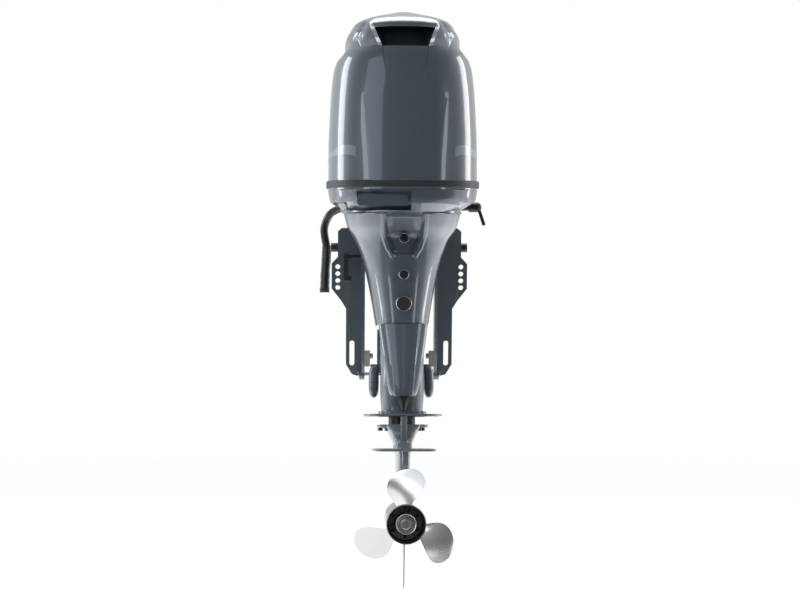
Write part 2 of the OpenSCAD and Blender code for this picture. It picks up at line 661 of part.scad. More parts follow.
// Belt around both pulleys, drawn as the band between an outer and an inner loop
module belt_loop(t) {
    lean = asin((cam_pulley_r - crank_pulley_r) / cam_back);
    r1 = crank_pulley_r + t;
    r2 = cam_pulley_r + t;
    translate([0, drive_y]) circle(r = r1, $fn = 96);
    translate([0, cam_y]) circle(r = r2, $fn = 96);
    polygon([[r1 * cos(lean), drive_y + r1 * sin(lean)], [-r1 * cos(lean), drive_y + r1 * sin(lean)],
        [-r2 * cos(lean), cam_y + r2 * sin(lean)], [r2 * cos(lean), cam_y + r2 * sin(lean)]]);
}
module timing_belt() color([0.04, 0.04, 0.04])
    translate([0, 0, belt_z0 + 0.5]) linear_extrude(belt_z1 - belt_z0 - 1) difference() {
        belt_loop(5);
        belt_loop(gap);
    }

module belt_cover() color([0.07, 0.07, 0.08]) difference() {
    union() {
        round_block(-100, 100, -398, -60, flywheel_z + 36, flywheel_z + 42, 40);
        for (x = [-84, 84]) translate([x, head_y + 30, 0]) rod_z(8, block_z1, flywheel_z + 37);
    }
    translate([0, drive_y, 0]) rod_z(20, 400, 600);
}

module intake_manifold() color([0.08, 0.08, 0.09]) {
    round_block(108, 150, -300, 0, 210, 410, 14);
    for (z = [215, 265, 315, 365]) block(95 + gap, 110, -235, -205, z, z + 30);
}

module starter_motor() color([0.10, 0.10, 0.11]) translate([-62, drive_y + 90 + 32 + gap, 0]) {
    rod_z(32, 250, 400);
    rod_z(14, 400, 440);
}

module oil_filter() color([0.12, 0.16, 0.30]) translate([0, drive_y + 20, 250]) {
    rod_x(33, -152, -102);
    rod_x(16, -102, -95 - gap);
}

module control_unit() color([0.09, 0.09, 0.10]) {
    block(-112, -92, -330, -248, 290, 400);
    block(-92, -88 - gap, -300, -270, 300, 390);
}

module oil_pan() color([0.46, 0.47, 0.49]) difference() {
    union() {
        translate([0, pan_y, 0]) round_block(-30, 30, -20, 20, -150, mid_top, 7);
        translate([0, pan_y, 0]) rod_z(12, splash_z, -149);
    }
    translate([0, pan_y, 0]) rod_z(9, splash_z - 1, mid_top + 1);
}

/* ---------- lower unit ---------- */

module driveshaft() color([0.66, 0.67, 0.69]) translate([0, drive_y, 0])
    rod_z(driveshaft_d / 2, prop_z + cone_out + 10, block_z0 + gap);

module water_pump() color([0.10, 0.10, 0.11]) translate([0, drive_y, 0]) difference() {
    rod_z(34, flange_z, flange_z + 42);
    rod_z(27, flange_z + 6, flange_z + 34);
    rod_z(driveshaft_d / 2 + 1, flange_z - 1, flange_z + 60);
}

module impeller() color([0.30, 0.12, 0.10]) translate([0, drive_y, flange_z + 8]) difference() {
    union() {
        rod_z(15, 0, 24);
        for (a = [0 : 60 : 300]) rotate([0, 0, a]) block(12, 25.5, -1.5, 1.5, 0, 24);
    }
    rod_z(driveshaft_d / 2 + run, -1, 30);
}

// Streamlined level of the gear housing
function fin(z, w, front, back, count = 32) = [for (i = [0 : count - 1])
    let (a = 360 * i / count, t = (1 - sin(a)) / 2)
    [w * cos(a) * (1 - 0.35 * t), front + (back - front) * t, z]];

module gearcase() color([0.30, 0.34, 0.40]) difference() {
    union() {
        loft([fin(prop_z - 10, 15, -92, -372), fin(prop_z + 50, 17, -104, -352), fin(-560, 17.5, -112, -348),
            fin(plate_z, 20, -108, -372), fin(-455, 30, -106, -330), fin(flange_z - 12, 44, -100, -318),
            fin(flange_z, 55, -96, -312)]);
        round_block(-63, 63, -300, -104, flange_z - 8, flange_z, 30);
        // anti-ventilation plate
        translate([0, 0, plate_z - 3]) linear_extrude(6) polygon([[-22, -92], [22, -92], [plate_w / 2 - 12, -190],
            [plate_w / 2, -300], [plate_w / 2 - 4, -438], [plate_w / 2 - 16, -452], [-plate_w / 2 + 16, -452],
            [-plate_w / 2 + 4, -438], [-plate_w / 2, -300], [-plate_w / 2 + 12, -190]]);
        // torpedo
        translate([0, 0, prop_z]) rotate([90, 0, 0]) rotate_extrude($fn = fn)
            polygon([[0, 66], [9, 68], [20, 76], [31, 92], [40, 118], [torpedo_r - 1, 160], [torpedo_r, 210],
                [torpedo_r, -torpedo_aft], [0, -torpedo_aft]]);
        // skeg
        translate([-skeg_t / 2, 0, 0]) profile_x(0, skeg_t) polygon([[-150, prop_z - 20], [-372, prop_z - 20],
            [-350, prop_z - 60], [-330, prop_z - skeg_drop], [-268, prop_z - skeg_drop], [-205, prop_z - 100]]);
        // trailing strip
        block(-7.5, 7.5, -334, -300, plate_z, splash_z - gap);
    }
    translate([0, drive_y, 0]) rod_z(driveshaft_d / 2 + 3, prop_z, flange_z + 1);
    translate([0, drive_y, 0]) rod_z(gear_face + 3, prop_z, prop_z + cone_out + 13);
    translate([0, rod_y, 0]) rod_z(shift_r + gap, prop_z, flange_z + 1);
    translate([0, 0, prop_z]) rod_y(cavity_r, torpedo_aft - 1, rod_y - 6);
    translate([0, 0, prop_z]) rod_y(16, rod_y - 10, rod_y + 20);
}

module water_strainers() color([0.06, 0.06, 0.07])
    for (s = [-1, 1]) translate([s * 34.6, -200, -441]) rotate([0, s * 28, 0]) block(-1.5, 1.5, -26, 26, -9, 9);

module shift_rod() color([0.66, 0.67, 0.69]) translate([0, rod_y, 0]) {
    rod_z(shift_r, prop_z - 8, mid_top + 40);
    block(-3, 24, -4, 4, mid_top + 36, mid_top + 40);
    translate([0, 0, prop_z - 6]) rod_z(8, 0, 12);
}

module pinion_gear() color([0.55, 0.56, 0.58]) translate([0, drive_y, prop_z + gap]) difference() {
    union() {
        translate([0, 0, cone_in]) cylinder(r1 = cone_in * tan(pitch_lean), r2 = gear_face, h = cone_out - cone_in, $fn = fn);
        rod_z(gear_face, cone_out, cone_out + 10 - gap);
    }
    for (a = [0 : 360 / gear_small : 359]) rotate([0, 0, a]) translate([gear_face + 0.8, 0, 0])
        rod_z(1.6, cone_in - 1, cone_out + 12);
}

module bevel_gear() rotate_extrude($fn = fn)
    polygon([[shaft_r + run, 17.5], [cone_in, 17.5], [cone_in, cone_in * tan(pitch_lean) + gap],
        [cone_out, gear_face + gap], [cone_out, 28], [20, 32], [20, 42], [shaft_r + run, 42]]);
module forward_gear() color([0.55, 0.56, 0.58]) translate([0, drive_y, prop_z]) rotate([-90, 0, 0]) gear_with_teeth();
module reverse_gear() color([0.55, 0.56, 0.58]) translate([0, drive_y, prop_z]) rotate([90, 0, 0]) gear_with_teeth();
module gear_with_teeth() difference() {
    bevel_gear();
    for (a = [0 : 360 / gear_big : 359]) rotate([0, 0, a]) translate([cone_out + 0.6, 0, 0]) rod_z(1.6, 0, 40);
}

module dog_clutch() color([0.50, 0.51, 0.53]) translate([0, drive_y, prop_z]) difference() {
    rod_y(15, -9.5, 9.5);
    rod_y(shaft_r + run, -20, 20);
    for (a = [0 : 120 : 240]) rotate([0, a, 0]) translate([15, 0, 0]) rod_y(2.5, -20, 20);
}

module bearing_carrier() color([0.42, 0.43, 0.45]) translate([0, 0, prop_z]) difference() {
    union() {
        rod_y(cavity_r - gap, torpedo_aft + 2, torpedo_aft + 26);
        rod_y(26, torpedo_aft + 26, drive_y - 60);
        rod_y(cavity_r - gap, drive_y - 72, drive_y - 56);
    }
    rod_y(shaft_r + run, -500, 0);
    for (a = [30 : 60 : 330]) rotate([0, a, 0]) translate([33, 0, 0]) rod_y(4.5, -500, 0);
}

module propeller_shaft() color([0.70, 0.71, 0.73]) translate([0, 0, prop_z]) {
    rod_y(shaft_r, shaft_end, rod_y - 12);
}

blade_root = hub_r - 5;
// One station of a blade: chord angles and the pitch helix decide where it lies
function blade_ring(r, lead, trail, t) = let (steps = 7)
    [for (i = [0 : 2 * steps - 1])
        let (u = i < steps ? i / steps : 2 - i / steps,
             side = i < steps ? 1 : -1,
             a = lead + (trail - lead) * u,
             thick = -t * sin(180 * u) * side / 2,
             y = -prop_pitch * (a - (lead + trail) / 2) / 360 - (r - 44) * 0.16 + thick)
        [r * sin(a), y, r * cos(a)]];

function blade_stations() = [for (k = [0 : 9])
    let (u = k / 9,
         r = blade_root + (prop_r - blade_root) * u,
         half = u < 1 ? 36 * pow(sin(40 + 140 * pow(u, 1.35)), 0.6) + 2 : 3,
         skew = 12 * u * u)
    blade_ring(r, skew - half, skew + half, 6 - 4 * u)];

module propeller() color([0.80, 0.81, 0.83]) translate([0, hub_y, prop_z]) {
    difference() {
        union() {
            rotate([90, 0, 0]) rotate_extrude($fn = fn)
                polygon([[hub_r - 7, 0], [hub_r - 1.5, 0], [hub_r - 3, hub_len * 0.6], [hub_r, hub_len],
                    [hub_r - 3, hub_len], [hub_r - 7, hub_len * 0.8]]);
            rod_y(25.8, -hub_len + 12, -2);
            for (a = [20 : 120 : 260]) rotate([0, a, 0]) block(-2.5, 2.5, -hub_len + 18, -8, 20, hub_r - 5);
        }
        rod_y(shaft_r + run, -200, 10);
        rod_y(18, -hub_len - 1, -hub_len + 24);
    }
    for (a = [-5, 115, 235]) rotate([0, a, 0]) translate([0, -hub_len * 0.45, 0]) loft(blade_stations());
}

module propeller_nut() color([0.66, 0.67, 0.69]) translate([0, nut_y - 3, prop_z]) difference() {
    union() {
        rod_y(16, -1, 3);
        rotate([90, 0, 0]) cylinder(r = 14.4, h = 12, $fn = 6);
        rod_y(11, -18, -11);
    }
    rod_y(shaft_r + run, -40, 20);
    for (a = [0 : 60 : 120]) rotate([0, a, 0]) block(-20, 20, -19, -14, -1.6, 1.6);
}

tab_y = -396;
module trim_tab() color([0.72, 0.70, 0.66]) translate([0, tab_y, 0]) difference() {
    union() {
        rod_z(9, plate_z - 9, plate_z - 3 - gap);
        translate([0, 0, plate_z - 36]) linear_extrude(33 - gap)
            polygon([[-3.5, 10], [3.5, 10], [7, -4], [6, -42], [-6, -42], [-7, -4]]);
    }
}

/* ---------- cables ---------- */

// Route of the cable bundle, from the bottom cowl down into its sleeve
cable_route = [[-150, -60, 158], [-150, -20, 158], [-150, 30, 158], [-158, 43, 159], [-170, 53, 156],
    [-184, 62, 148], [-194, 74, 132], [-200, 82, 112], [-199, 87, 92], [-196, 90, 74], [-194, 92, 60],
    [-194, 94, 50], [-195, 95, 25], [-197, 96, 0], [-198, 97, -30], [-199, 97, -62]];
sleeve_from = 10;

function unit(v) = v / norm(v);
function heading(i) = unit(cable_route[min(i + 1, len(cable_route) - 1)] - cable_route[max(i - 1, 0)]);
function cable_ring(i) = let (d = heading(i), u = unit(cross(d, [0.2, 0.97, 0.1])), v = cross(d, u))
    [for (k = [0 : 11]) cable_route[i] + (i < sleeve_from ? cable_r : cable_r + 2) * (u * cos(30 * k) + v * sin(30 * k))];

module cable_bundle() color([0.05, 0.05, 0.05]) loft([for (i = [0 : len(cable_route) - 1]) cable_ring(i)]);

/* ---------- the assembly ---------- */
clamp_bracket_port();
clamp_bracket_starboard();
tilt_tube();
tilt_tube_nuts();
cylinder_pin();
bracket_anodes();
tilt_support_lever();
swivel_bracket();
swivel_bushes();
tilt_cylinder();
tilt_ram();
ram_pin();
steering_arm_shaft();
lower_mount_yoke();
rubber_mounts();
lower_mount_covers();
exhaust_guide();
midsection();
lower_rear_cover();
apron();
bottom_cowl();
rubber_band();
flush_plug();
pilot_outlet();
idle_exhaust_plug();
gearcase_bolts();
cylinder_block();
cylinder_head();
head_cover();
spark_coils();
crankshaft();
flywheel();
camshaft();
timing_belt();
belt_cover();
intake_manifold();
starter_motor();
oil_filter();
control_unit();
oil_pan();
driveshaft();
water_pump();
impeller();
gearcase();
water_strainers();
shift_rod();
pinion_gear();
forward_gear();
reverse_gear();
dog_clutch();
bearing_carrier();
propeller_shaft();
propeller();
propeller_nut();
trim_tab();
top_cowl();
latch_lever();
tilt_switch();
fuel_connector();
cable_bundle();
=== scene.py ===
"""Outboard motor on its transom bracket: the finished pieces, their materials and the studio.

Lengths inside the modelling functions are millimetres in the frame of the CAD model, and
place() turns them into metres. X is starboard, Y is forward, towards the boat, and Z is up.
"""

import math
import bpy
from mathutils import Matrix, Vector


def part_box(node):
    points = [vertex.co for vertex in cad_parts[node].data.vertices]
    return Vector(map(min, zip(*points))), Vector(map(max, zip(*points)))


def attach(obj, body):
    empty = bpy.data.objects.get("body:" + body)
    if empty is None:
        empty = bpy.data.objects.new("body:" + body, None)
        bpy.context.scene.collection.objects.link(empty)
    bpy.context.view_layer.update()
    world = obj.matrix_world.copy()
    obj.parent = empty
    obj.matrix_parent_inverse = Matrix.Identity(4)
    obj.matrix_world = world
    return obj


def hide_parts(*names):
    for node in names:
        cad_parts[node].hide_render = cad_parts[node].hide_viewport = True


bl_info = {
    "name": "Outboard Motor",
    "version": (1, 0, 0),
    "blender": (4, 5, 0),
    "location": "View3D > Sidebar > Outboard",
    "description": "Builds the finished surfaces of an outboard motor around its CAD frame",
    "category": "Object",
}

import bmesh
import bpy
from bpy.props import FloatProperty, FloatVectorProperty, IntProperty, PointerProperty
from mathutils import Matrix, Vector

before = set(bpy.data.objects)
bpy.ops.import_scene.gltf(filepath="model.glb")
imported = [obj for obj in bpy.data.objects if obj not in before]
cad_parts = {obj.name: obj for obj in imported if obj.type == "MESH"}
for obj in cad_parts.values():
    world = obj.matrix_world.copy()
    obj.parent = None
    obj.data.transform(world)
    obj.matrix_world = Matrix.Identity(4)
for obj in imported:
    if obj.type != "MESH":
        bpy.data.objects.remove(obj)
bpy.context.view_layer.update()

MM = 0.001
FULL_TURN = 2 * math.pi
# Corners nearer than this become one corner, and edges that bend more than this stay sharp
WELD, SHARP_DEG = 0.01, 32
# Thickness of one lower mount pod across the boat
POD_THICK = 27.0
# Height of the propeller's axis, and where its hub and its nut begin
PROP_Z, HUB_Y, NUT_Y = -658, -398, -475
# The apron wraps the stern and sides, and ends here towards the boat
APRON_FRONT = -145
# Camera fitted to the photo: place in metres, focal length in mm, pitch and yaw in degrees
CAMERA_PLACE, LENS, PITCH, YAW = (-0.169, -5.0, -0.439), 84.96, 4.0, 1.956
# Floor and the point that the lamps face, in metres
FLOOR_RADIUS, FLOOR_PLACE, LAMP_AIM = 14, (0, 13.1, -0.93), (0, -0.2, 0.1)


# ---------------------------------------------------------------- sizes and colours


class OutboardSizes(bpy.types.PropertyGroup):
    """Sizes that a user may change without leaving the CAD box."""

    soft_edge: FloatProperty(
        name="Soft edge", description="Radius left on moulded and cast edges",
        default=1.2 * MM, min=0.2 * MM, max=3 * MM, unit="LENGTH")
    panel_rise: FloatProperty(
        name="Panel rise", description="How far the cowl's stern panel stands out at its foot",
        default=4.6 * MM, min=0.0, max=6 * MM, unit="LENGTH")
    mouth_depth: FloatProperty(
        name="Mouth depth", description="Depth of the air intake in the top cowl",
        default=44 * MM, min=10 * MM, max=50 * MM, unit="LENGTH")
    propeller_radius: FloatProperty(
        name="Propeller radius", description="Radius over the propeller's blades",
        default=132 * MM, min=110 * MM, max=132 * MM, unit="LENGTH")
    propeller_pitch: FloatProperty(
        name="Propeller pitch", description="Advance of the propeller in one turn",
        default=330 * MM, min=280 * MM, max=380 * MM, unit="LENGTH")
    blade_count: IntProperty(
        name="Blades", description="Number of propeller blades", default=3, min=3, max=3)
    cable_diameter: FloatProperty(
        name="Cable diameter", description="Diameter of the control cable bundle",
        default=22 * MM, min=16 * MM, max=24 * MM, unit="LENGTH")


class OutboardColours(bpy.types.PropertyGroup):
    """Colours of the main finishes."""

    cowl: FloatVectorProperty(
        name="Cowl paint", description="Gloss metallic paint on the cowls and apron",
        default=(0.098, 0.120, 0.148), subtype="COLOR", min=0, max=1)
    bracket: FloatVectorProperty(
        name="Bracket paint", description="Satin paint on the transom bracket",
        default=(0.090, 0.112, 0.134), subtype="COLOR", min=0, max=1)
    lower: FloatVectorProperty(
        name="Lower unit paint", description="Paint on the gear housing",
        default=(0.150, 0.180, 0.205), subtype="COLOR", min=0, max=1)
    steel: FloatVectorProperty(
        name="Steel", description="Polished stainless steel",
        default=(0.63, 0.615, 0.60), subtype="COLOR", min=0, max=1)
    stripe: FloatVectorProperty(
        name="Stripe", description="Plain stripe along the cowl's sides",
        default=(0.22, 0.26, 0.29), subtype="COLOR", min=0, max=1)


def sizes():
    return bpy.context.scene.outboard_sizes


def colours():
    return bpy.context.scene.outboard_colours


# ---------------------------------------------------------------- curves and sections


def smooth_through(knots, place):
    """Value at a place on a curve through (place, value) knots, without overshoot."""
    if place <= knots[0][0]:
        return knots[0][1]
    if place >= knots[-1][0]:
        return knots[-1][1]
    k = max(i for i, knot in enumerate(knots[:-1]) if knot[0] <= place)

    def rise(i):
        return (knots[i + 1][1] - knots[i][1]) / (knots[i + 1][0] - knots[i][0])

    def tangent(i):
        if i in (0, len(knots) - 1):
            return rise(0) if i == 0 else rise(i - 1)
        before, after = rise(i - 1), rise(i)
        return 0.0 if before * after <= 0 else 2 * before * after / (before + after)

    span = knots[k + 1][0] - knots[k][0]
    t = (place - knots[k][0]) / span
    return ((1 + 2 * t) * (1 - t) ** 2 * knots[k][1] + t * (1 - t) ** 2 * span * tangent(k)
            + t * t * (3 - 2 * t) * knots[k + 1][1] + t * t * (t - 1) * span * tangent(k + 1))


def straight_through(knots, place):
    """Value at a place on straight lines through (place, value) knots."""
    if place <= knots[0][0]:
        return knots[0][1]
    for (a, va), (b, vb) in zip(knots, knots[1:]):
        if place <= b:
            return va + (vb - va) * (place - a) / (b - a)
    return knots[-1][1]


def ease(t):
    t = min(1.0, max(0.0, t))
    return t * t * (3 - 2 * t)


def mix(a, b, t):
    return a + (b - a) * t


def level_at(levels, z):
    """Half width, front, back, squareness and slope of a shell at a height."""
    return [smooth_through([(lv[0], lv[k]) for lv in levels], z) for k in range(1, 6)]


def side_place(levels, z, angle):
    """Point and outward direction on a shell, by its angle from starboard towards the boat."""
    w, front, back, n, slope = level_at(levels, z)
    cos, sin = math.cos(angle), math.sin(angle)
    x = w * math.copysign(abs(cos) ** (2 / n), cos)
    y = (front + back) / 2 + (front - back) / 2 * math.copysign(abs(sin) ** (2 / n), sin)
    out = Vector((math.copysign(abs(cos) ** (2 - 2 / n), cos) / w,
                  math.copysign(abs(sin) ** (2 - 2 / n), sin) / ((front - back) / 2), 0))
    return Vector((x, y, z + slope * y)), out.normalized()


def stern_angle(levels, z, x):
    """Angle at which a shell's stern face has this X."""
    w, _, _, n, _ = level_at(levels, z)
    share = min(0.9999, abs(x) / w) ** (n / 2)
    return -math.acos(share) if x > 0 else math.acos(share) - math.pi


def level_of(levels, x, z):
    """The level whose stern face reaches this X and true height."""
    guess = z
    for _ in range(8):
        w, front, back, n, slope = level_at(levels, guess)
        share = max(0.0, 1 - min(0.9999, abs(x) / w) ** n) ** (1 / n)
        guess = z - slope * ((front + back) / 2 - (front - back) / 2 * share)
    return guess


def shell_row(levels, stern, side_steps=64, side_push=None):
    """One closed row of a shell. stern holds (x, level, push) from port to starboard."""
    row = []
    for x, z, push in stern:
        point, out = side_place(levels, z, stern_angle(levels, z, x))
        row.append(point + out * push)
    start = stern_angle(levels, stern[-1][1], stern[-1][0])
    end = FULL_TURN + stern_angle(levels, stern[0][1], stern[0][0])
    for step in range(1, side_steps):
        t = step / side_steps
        z = mix(stern[-1][1], stern[0][1], t)
        point, out = side_place(levels, z, mix(start, end, t))
        push = side_push(t) if side_push else mix(stern[-1][2], stern[0][2], t)
        row.append(point + out * push)
    return row + [row[0]]


def mirrored(half):
    """Marks on both sides of the middle, from those that run from it to starboard."""
    return [(-x, *rest) for x, *rest in reversed(half[1:])] + half


def stepped(corners, counts):
    """Marks along straight spans between (distance, push) corners, so many on each span."""
    marks = []
    for (x0, p0), (x1, p1), count in zip(corners, corners[1:], counts):
        marks += [(mix(x0, x1, s / count), mix(p0, p1, s / count)) for s in range(count)]
    return marks + [corners[-1]]


# ---------------------------------------------------------------- mesh tools


def skin(rows, closed_ends=""):
    """bmesh through equal rows of points. closed_ends names the rows to cap, low or high."""
    bm = bmesh.new()
    bmesh.ops.create_grid(bm, x_segments=len(rows[0]) - 1, y_segments=len(rows) - 1, size=1)
    for vert, point in zip(list(bm.verts), [p for row in rows for p in row]):
        vert.co = Vector(point)
    low = Vector(rows[0][0]), "low"
    high = Vector(rows[-1][0]), "high"
    bmesh.ops.remove_doubles(bm, verts=bm.verts, dist=WELD)
    for corner, end in (low, high):
        if end in closed_ends:
            rim = [e for e in bm.edges if e.is_boundary]
            seed = min(rim, key=lambda e: (e.verts[0].co - corner).length)
            loop, queue = {seed}, [seed]
            while queue:
                for vert in queue.pop().verts:
                    for edge in vert.link_edges:
                        if edge.is_boundary and edge not in loop:
                            loop.add(edge)
                            queue.append(edge)
            bmesh.ops.contextual_create(bm, geom=list(loop))
    bmesh.ops.recalc_face_normals(bm, faces=bm.faces)
    return bm


def turned(profile, segments=64, axis="Y", centre=(0, 0, 0)):
    """bmesh of a profile of (radius, place along the axis) spun into a closed ring or body."""
    bm = bmesh.new()
    verts = [bm.verts.new((r, 0, along)) for r, along in profile]
    edges = [bm.edges.new(pair) for pair in zip(verts, verts[1:])]
    bmesh.ops.spin(bm, geom=verts + edges, cent=(0, 0, 0), axis=(0, 0, 1), dvec=(0, 0, 0),
                   angle=FULL_TURN, steps=segments, use_merge=True, use_duplicate=False)
    bmesh.ops.remove_doubles(bm, verts=bm.verts, dist=WELD)
    bmesh.ops.recalc_face_normals(bm, faces=bm.faces)
    turn = Matrix.Rotation(-math.pi / 2, 4, "X") if axis == "Y" else Matrix.Identity(4)
    bm.transform(Matrix.Translation(centre) @ turn)
    return bm


def plate(outline, z0, z1, edge=1.5, segments=3):
    """bmesh of a flat plate from its outline in X and Y, with rounded rims."""
    bm = bmesh.new()
    verts = [bm.verts.new((x, y, z0)) for x, y in outline]
    face = bm.faces.new(verts)
    made = bmesh.ops.extrude_face_region(bm, geom=[face])
    bmesh.ops.translate(bm, verts=[g for g in made["geom"] if isinstance(g, bmesh.types.BMVert)],
                        vec=(0, 0, z1 - z0))
    bmesh.ops.recalc_face_normals(bm, faces=bm.faces)
    rims = [e for e in bm.edges if abs(e.verts[0].co.z - e.verts[1].co.z) < WELD]
    bmesh.ops.bevel(bm, geom=rims, offset=edge, segments=segments, profile=0.5,
                    affect="EDGES", material=-1, clamp_overlap=True)
    return bm


def rounded(outline, radius=12, steps=6):
    """The outline with its corners replaced by arcs."""
    out = []
    for k, corner in enumerate(outline):
        here = Vector((*corner, 0))
        before = Vector((*outline[k - 1], 0)) - here
        after = Vector((*outline[(k + 1) % len(outline)], 0)) - here
        reach = min(radius, before.length / 2.2, after.length / 2.2)
        a, b = here + before.normalized() * reach, here + after.normalized() * reach
        for step in range(steps + 1):
            t = step / steps
            p = a * (1 - t) ** 2 + here * 2 * t * (1 - t) + b * t * t
            out.append((p.x, p.y))
    return out


def soften_all(bm, offset):
    bmesh.ops.bevel(bm, geom=list(bm.edges), offset=offset, segments=2, profile=0.5,
                    affect="EDGES", material=-1)


def joined(*parts):
    """One bmesh that holds all of the parts."""
    whole = bmesh.new()
    for part in parts:
        mesh = bpy.data.meshes.new("part")
        part.to_mesh(mesh)
        part.free()
        whole.from_mesh(mesh)
        bpy.data.meshes.remove(mesh)
    return whole


def place(name, bm, material, body, slot, stands_for=(), wall=0.0, soften=None,
          sharp=SHARP_DEG):
    """Finished object from a bmesh in millimetres, riding on a CAD body."""
    bmesh.ops.scale(bm, vec=(MM, MM, MM), verts=bm.verts)
    for face in bm.faces:
        face.smooth = True
    mesh = bpy.data.meshes.new(name)
    bm.to_mesh(mesh)
    bm.free()
    mesh.set_sharp_from_angle(angle=math.radians(sharp))
    piece = bpy.data.objects.new(name, mesh)
    bpy.context.scene.collection.objects.link(piece)
    for finish in material if isinstance(material, tuple) else (material,):
        piece.data.materials.append(finish)
    if wall:
        solid = piece.modifiers.new("wall", "SOLIDIFY")
        solid.thickness, solid.offset = wall * MM, -1
    edge = sizes().soft_edge if soften is None else soften * MM
    if edge:
        round_edges(piece, edge, sharp)
    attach(piece, body)
    if stands_for:
        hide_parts(*stands_for)
    return piece


def round_edges(piece, width, sharp=SHARP_DEG):
    soft = piece.modifiers.new("soft_edges", "BEVEL")
    soft.width, soft.segments = width, 2
    soft.limit_method, soft.angle_limit = "ANGLE", math.radians(sharp)
    soft.use_clamp_overlap, soft.harden_normals = True, True


# ---------------------------------------------------------------- materials


def add_node(tree, kind, links=None, **values):
    made = tree.nodes.new(kind)
    for key, value in values.items():
        if key[0].islower():
            setattr(made, key, value)
        else:
            made.inputs[key.replace("_", " ")].default_value = value
    for socket, source in (links or {}).items():
        tree.links.new(source, made.inputs[socket])
    return made


def number(tree, operation, a, b, clamp=False):
    """Math node between sockets or plain numbers."""
    made = add_node(tree, "ShaderNodeMath", operation=operation, use_clamp=clamp)
    for slot, value in zip(made.inputs, (a, b)):
        if isinstance(value, (int, float)):
            slot.default_value = value
        else:
            tree.links.new(value, slot)
    return made.outputs[0]


def colour_mix(tree, factor, a, b):
    """Colour between two sockets or plain colours."""
    made = add_node(tree, "ShaderNodeMix", data_type="RGBA")
    for slot, value in zip((made.inputs[0], made.inputs[6], made.inputs[7]), (factor, a, b)):
        if isinstance(value, bpy.types.NodeSocket):
            tree.links.new(value, slot)
        elif isinstance(value, (int, float)):
            slot.default_value = value
        else:
            slot.default_value = (*value, 1)
    return made.outputs[2]


def effect(name, inputs, outputs):
    """Empty shader node group with float inputs and outputs, and its two end nodes."""
    tree = bpy.data.node_groups.new(name, "ShaderNodeTree")
    for label, default in inputs:
        tree.interface.new_socket(name=label, in_out="INPUT",
                                  socket_type="NodeSocketFloat").default_value = default
    for label in outputs:
        tree.interface.new_socket(name=label, in_out="OUTPUT", socket_type="NodeSocketFloat")
    return tree, tree.nodes.new("NodeGroupInput"), tree.nodes.new("NodeGroupOutput")


def object_coords(tree):
    return add_node(tree, "ShaderNodeTexCoord").outputs["Object"]


def give_speckled(tree, ask, give, mask, scale, detail):
    """Break a mask up with noise, scale it by the group's amount and hand it out."""
    specks = add_node(tree, "ShaderNodeTexNoise", {"Vector": object_coords(tree)},
                      Scale=scale, Detail=detail)
    tree.links.new(number(tree, "MULTIPLY", number(tree, "MULTIPLY", mask, specks.outputs[0]),
                          ask.outputs[0], clamp=True), give.inputs[0])


def make_effects():
    """The shared effects: metal flake, cast grain, brushed lines, dust and worn edges."""
    tree, ask, give = effect("metal_flake", [("Scale", 900.0), ("Density", 0.3)],
                             ["Glint", "Cloud"])
    coords = object_coords(tree)
    cells = add_node(tree, "ShaderNodeTexVoronoi", {"Vector": coords, "Scale": ask.outputs[0]})
    glint = number(tree, "LESS_THAN", cells.outputs["Distance"], ask.outputs[1])
    tint = add_node(tree, "ShaderNodeSeparateColor", {"Color": cells.outputs["Color"]})
    tree.links.new(number(tree, "MULTIPLY", glint, tint.outputs[0]), give.inputs[0])
    cloud = add_node(tree, "ShaderNodeTexNoise", {"Vector": coords}, Scale=7.0, Detail=3.0)
    tree.links.new(cloud.outputs[0], give.inputs[1])

    tree, ask, give = effect("cast_grain", [("Scale", 500.0)], ["Height", "Mask"])
    coords = object_coords(tree)
    fine = add_node(tree, "ShaderNodeTexNoise", {"Vector": coords, "Scale": ask.outputs[0]},
                    Detail=4.0, Roughness=0.6)
    broad = add_node(tree, "ShaderNodeTexNoise", {"Vector": coords}, Scale=22.0, Detail=3.0)
    tree.links.new(fine.outputs[0], give.inputs[0])
    tree.links.new(broad.outputs[0], give.inputs[1])

    tree, ask, give = effect("brushed_lines", [("Along", 30.0), ("Across", 900.0)],
                             ["Height", "Mask"])
    coords = object_coords(tree)
    stretch = add_node(tree, "ShaderNodeCombineXYZ",
                       {"X": ask.outputs[1], "Y": ask.outputs[0], "Z": ask.outputs[1]})
    scaled = add_node(tree, "ShaderNodeVectorMath",
                      {0: coords, 1: stretch.outputs[0]}, operation="MULTIPLY")
    lines = add_node(tree, "ShaderNodeTexNoise", {"Vector": scaled.outputs[0]},
                     Scale=1.0, Detail=3.0)
    smear = add_node(tree, "ShaderNodeTexNoise", {"Vector": coords}, Scale=35.0, Detail=2.0)
    tree.links.new(lines.outputs[0], give.inputs[0])
    tree.links.new(smear.outputs[0], give.inputs[1])

    tree, ask, give = effect("settled_dust", [("Amount", 0.2)], ["Mask"])
    upward = add_node(tree, "ShaderNodeSeparateXYZ",
                      {"Vector": add_node(tree, "ShaderNodeNewGeometry").outputs["Normal"]})
    flat = number(tree, "POWER", number(tree, "MAXIMUM", upward.outputs[2], 0.0), 3.0)
    give_speckled(tree, ask, give, flat, 60.0, 5.0)

    tree, ask, give = effect("worn_edges", [("Amount", 0.4)], ["Mask"])
    ridge = add_node(tree, "ShaderNodeNewGeometry").outputs["Pointiness"]
    sharp = number(tree, "MULTIPLY", number(tree, "SUBTRACT", ridge, 0.53), 9.0, clamp=True)
    give_speckled(tree, ask, give, sharp, 120.0, 4.0)


def use_effect(tree, name, **values):
    made = add_node(tree, "ShaderNodeGroup", node_tree=bpy.data.node_groups[name])
    for label, value in values.items():
        made.inputs[label].default_value = value
    return made.outputs


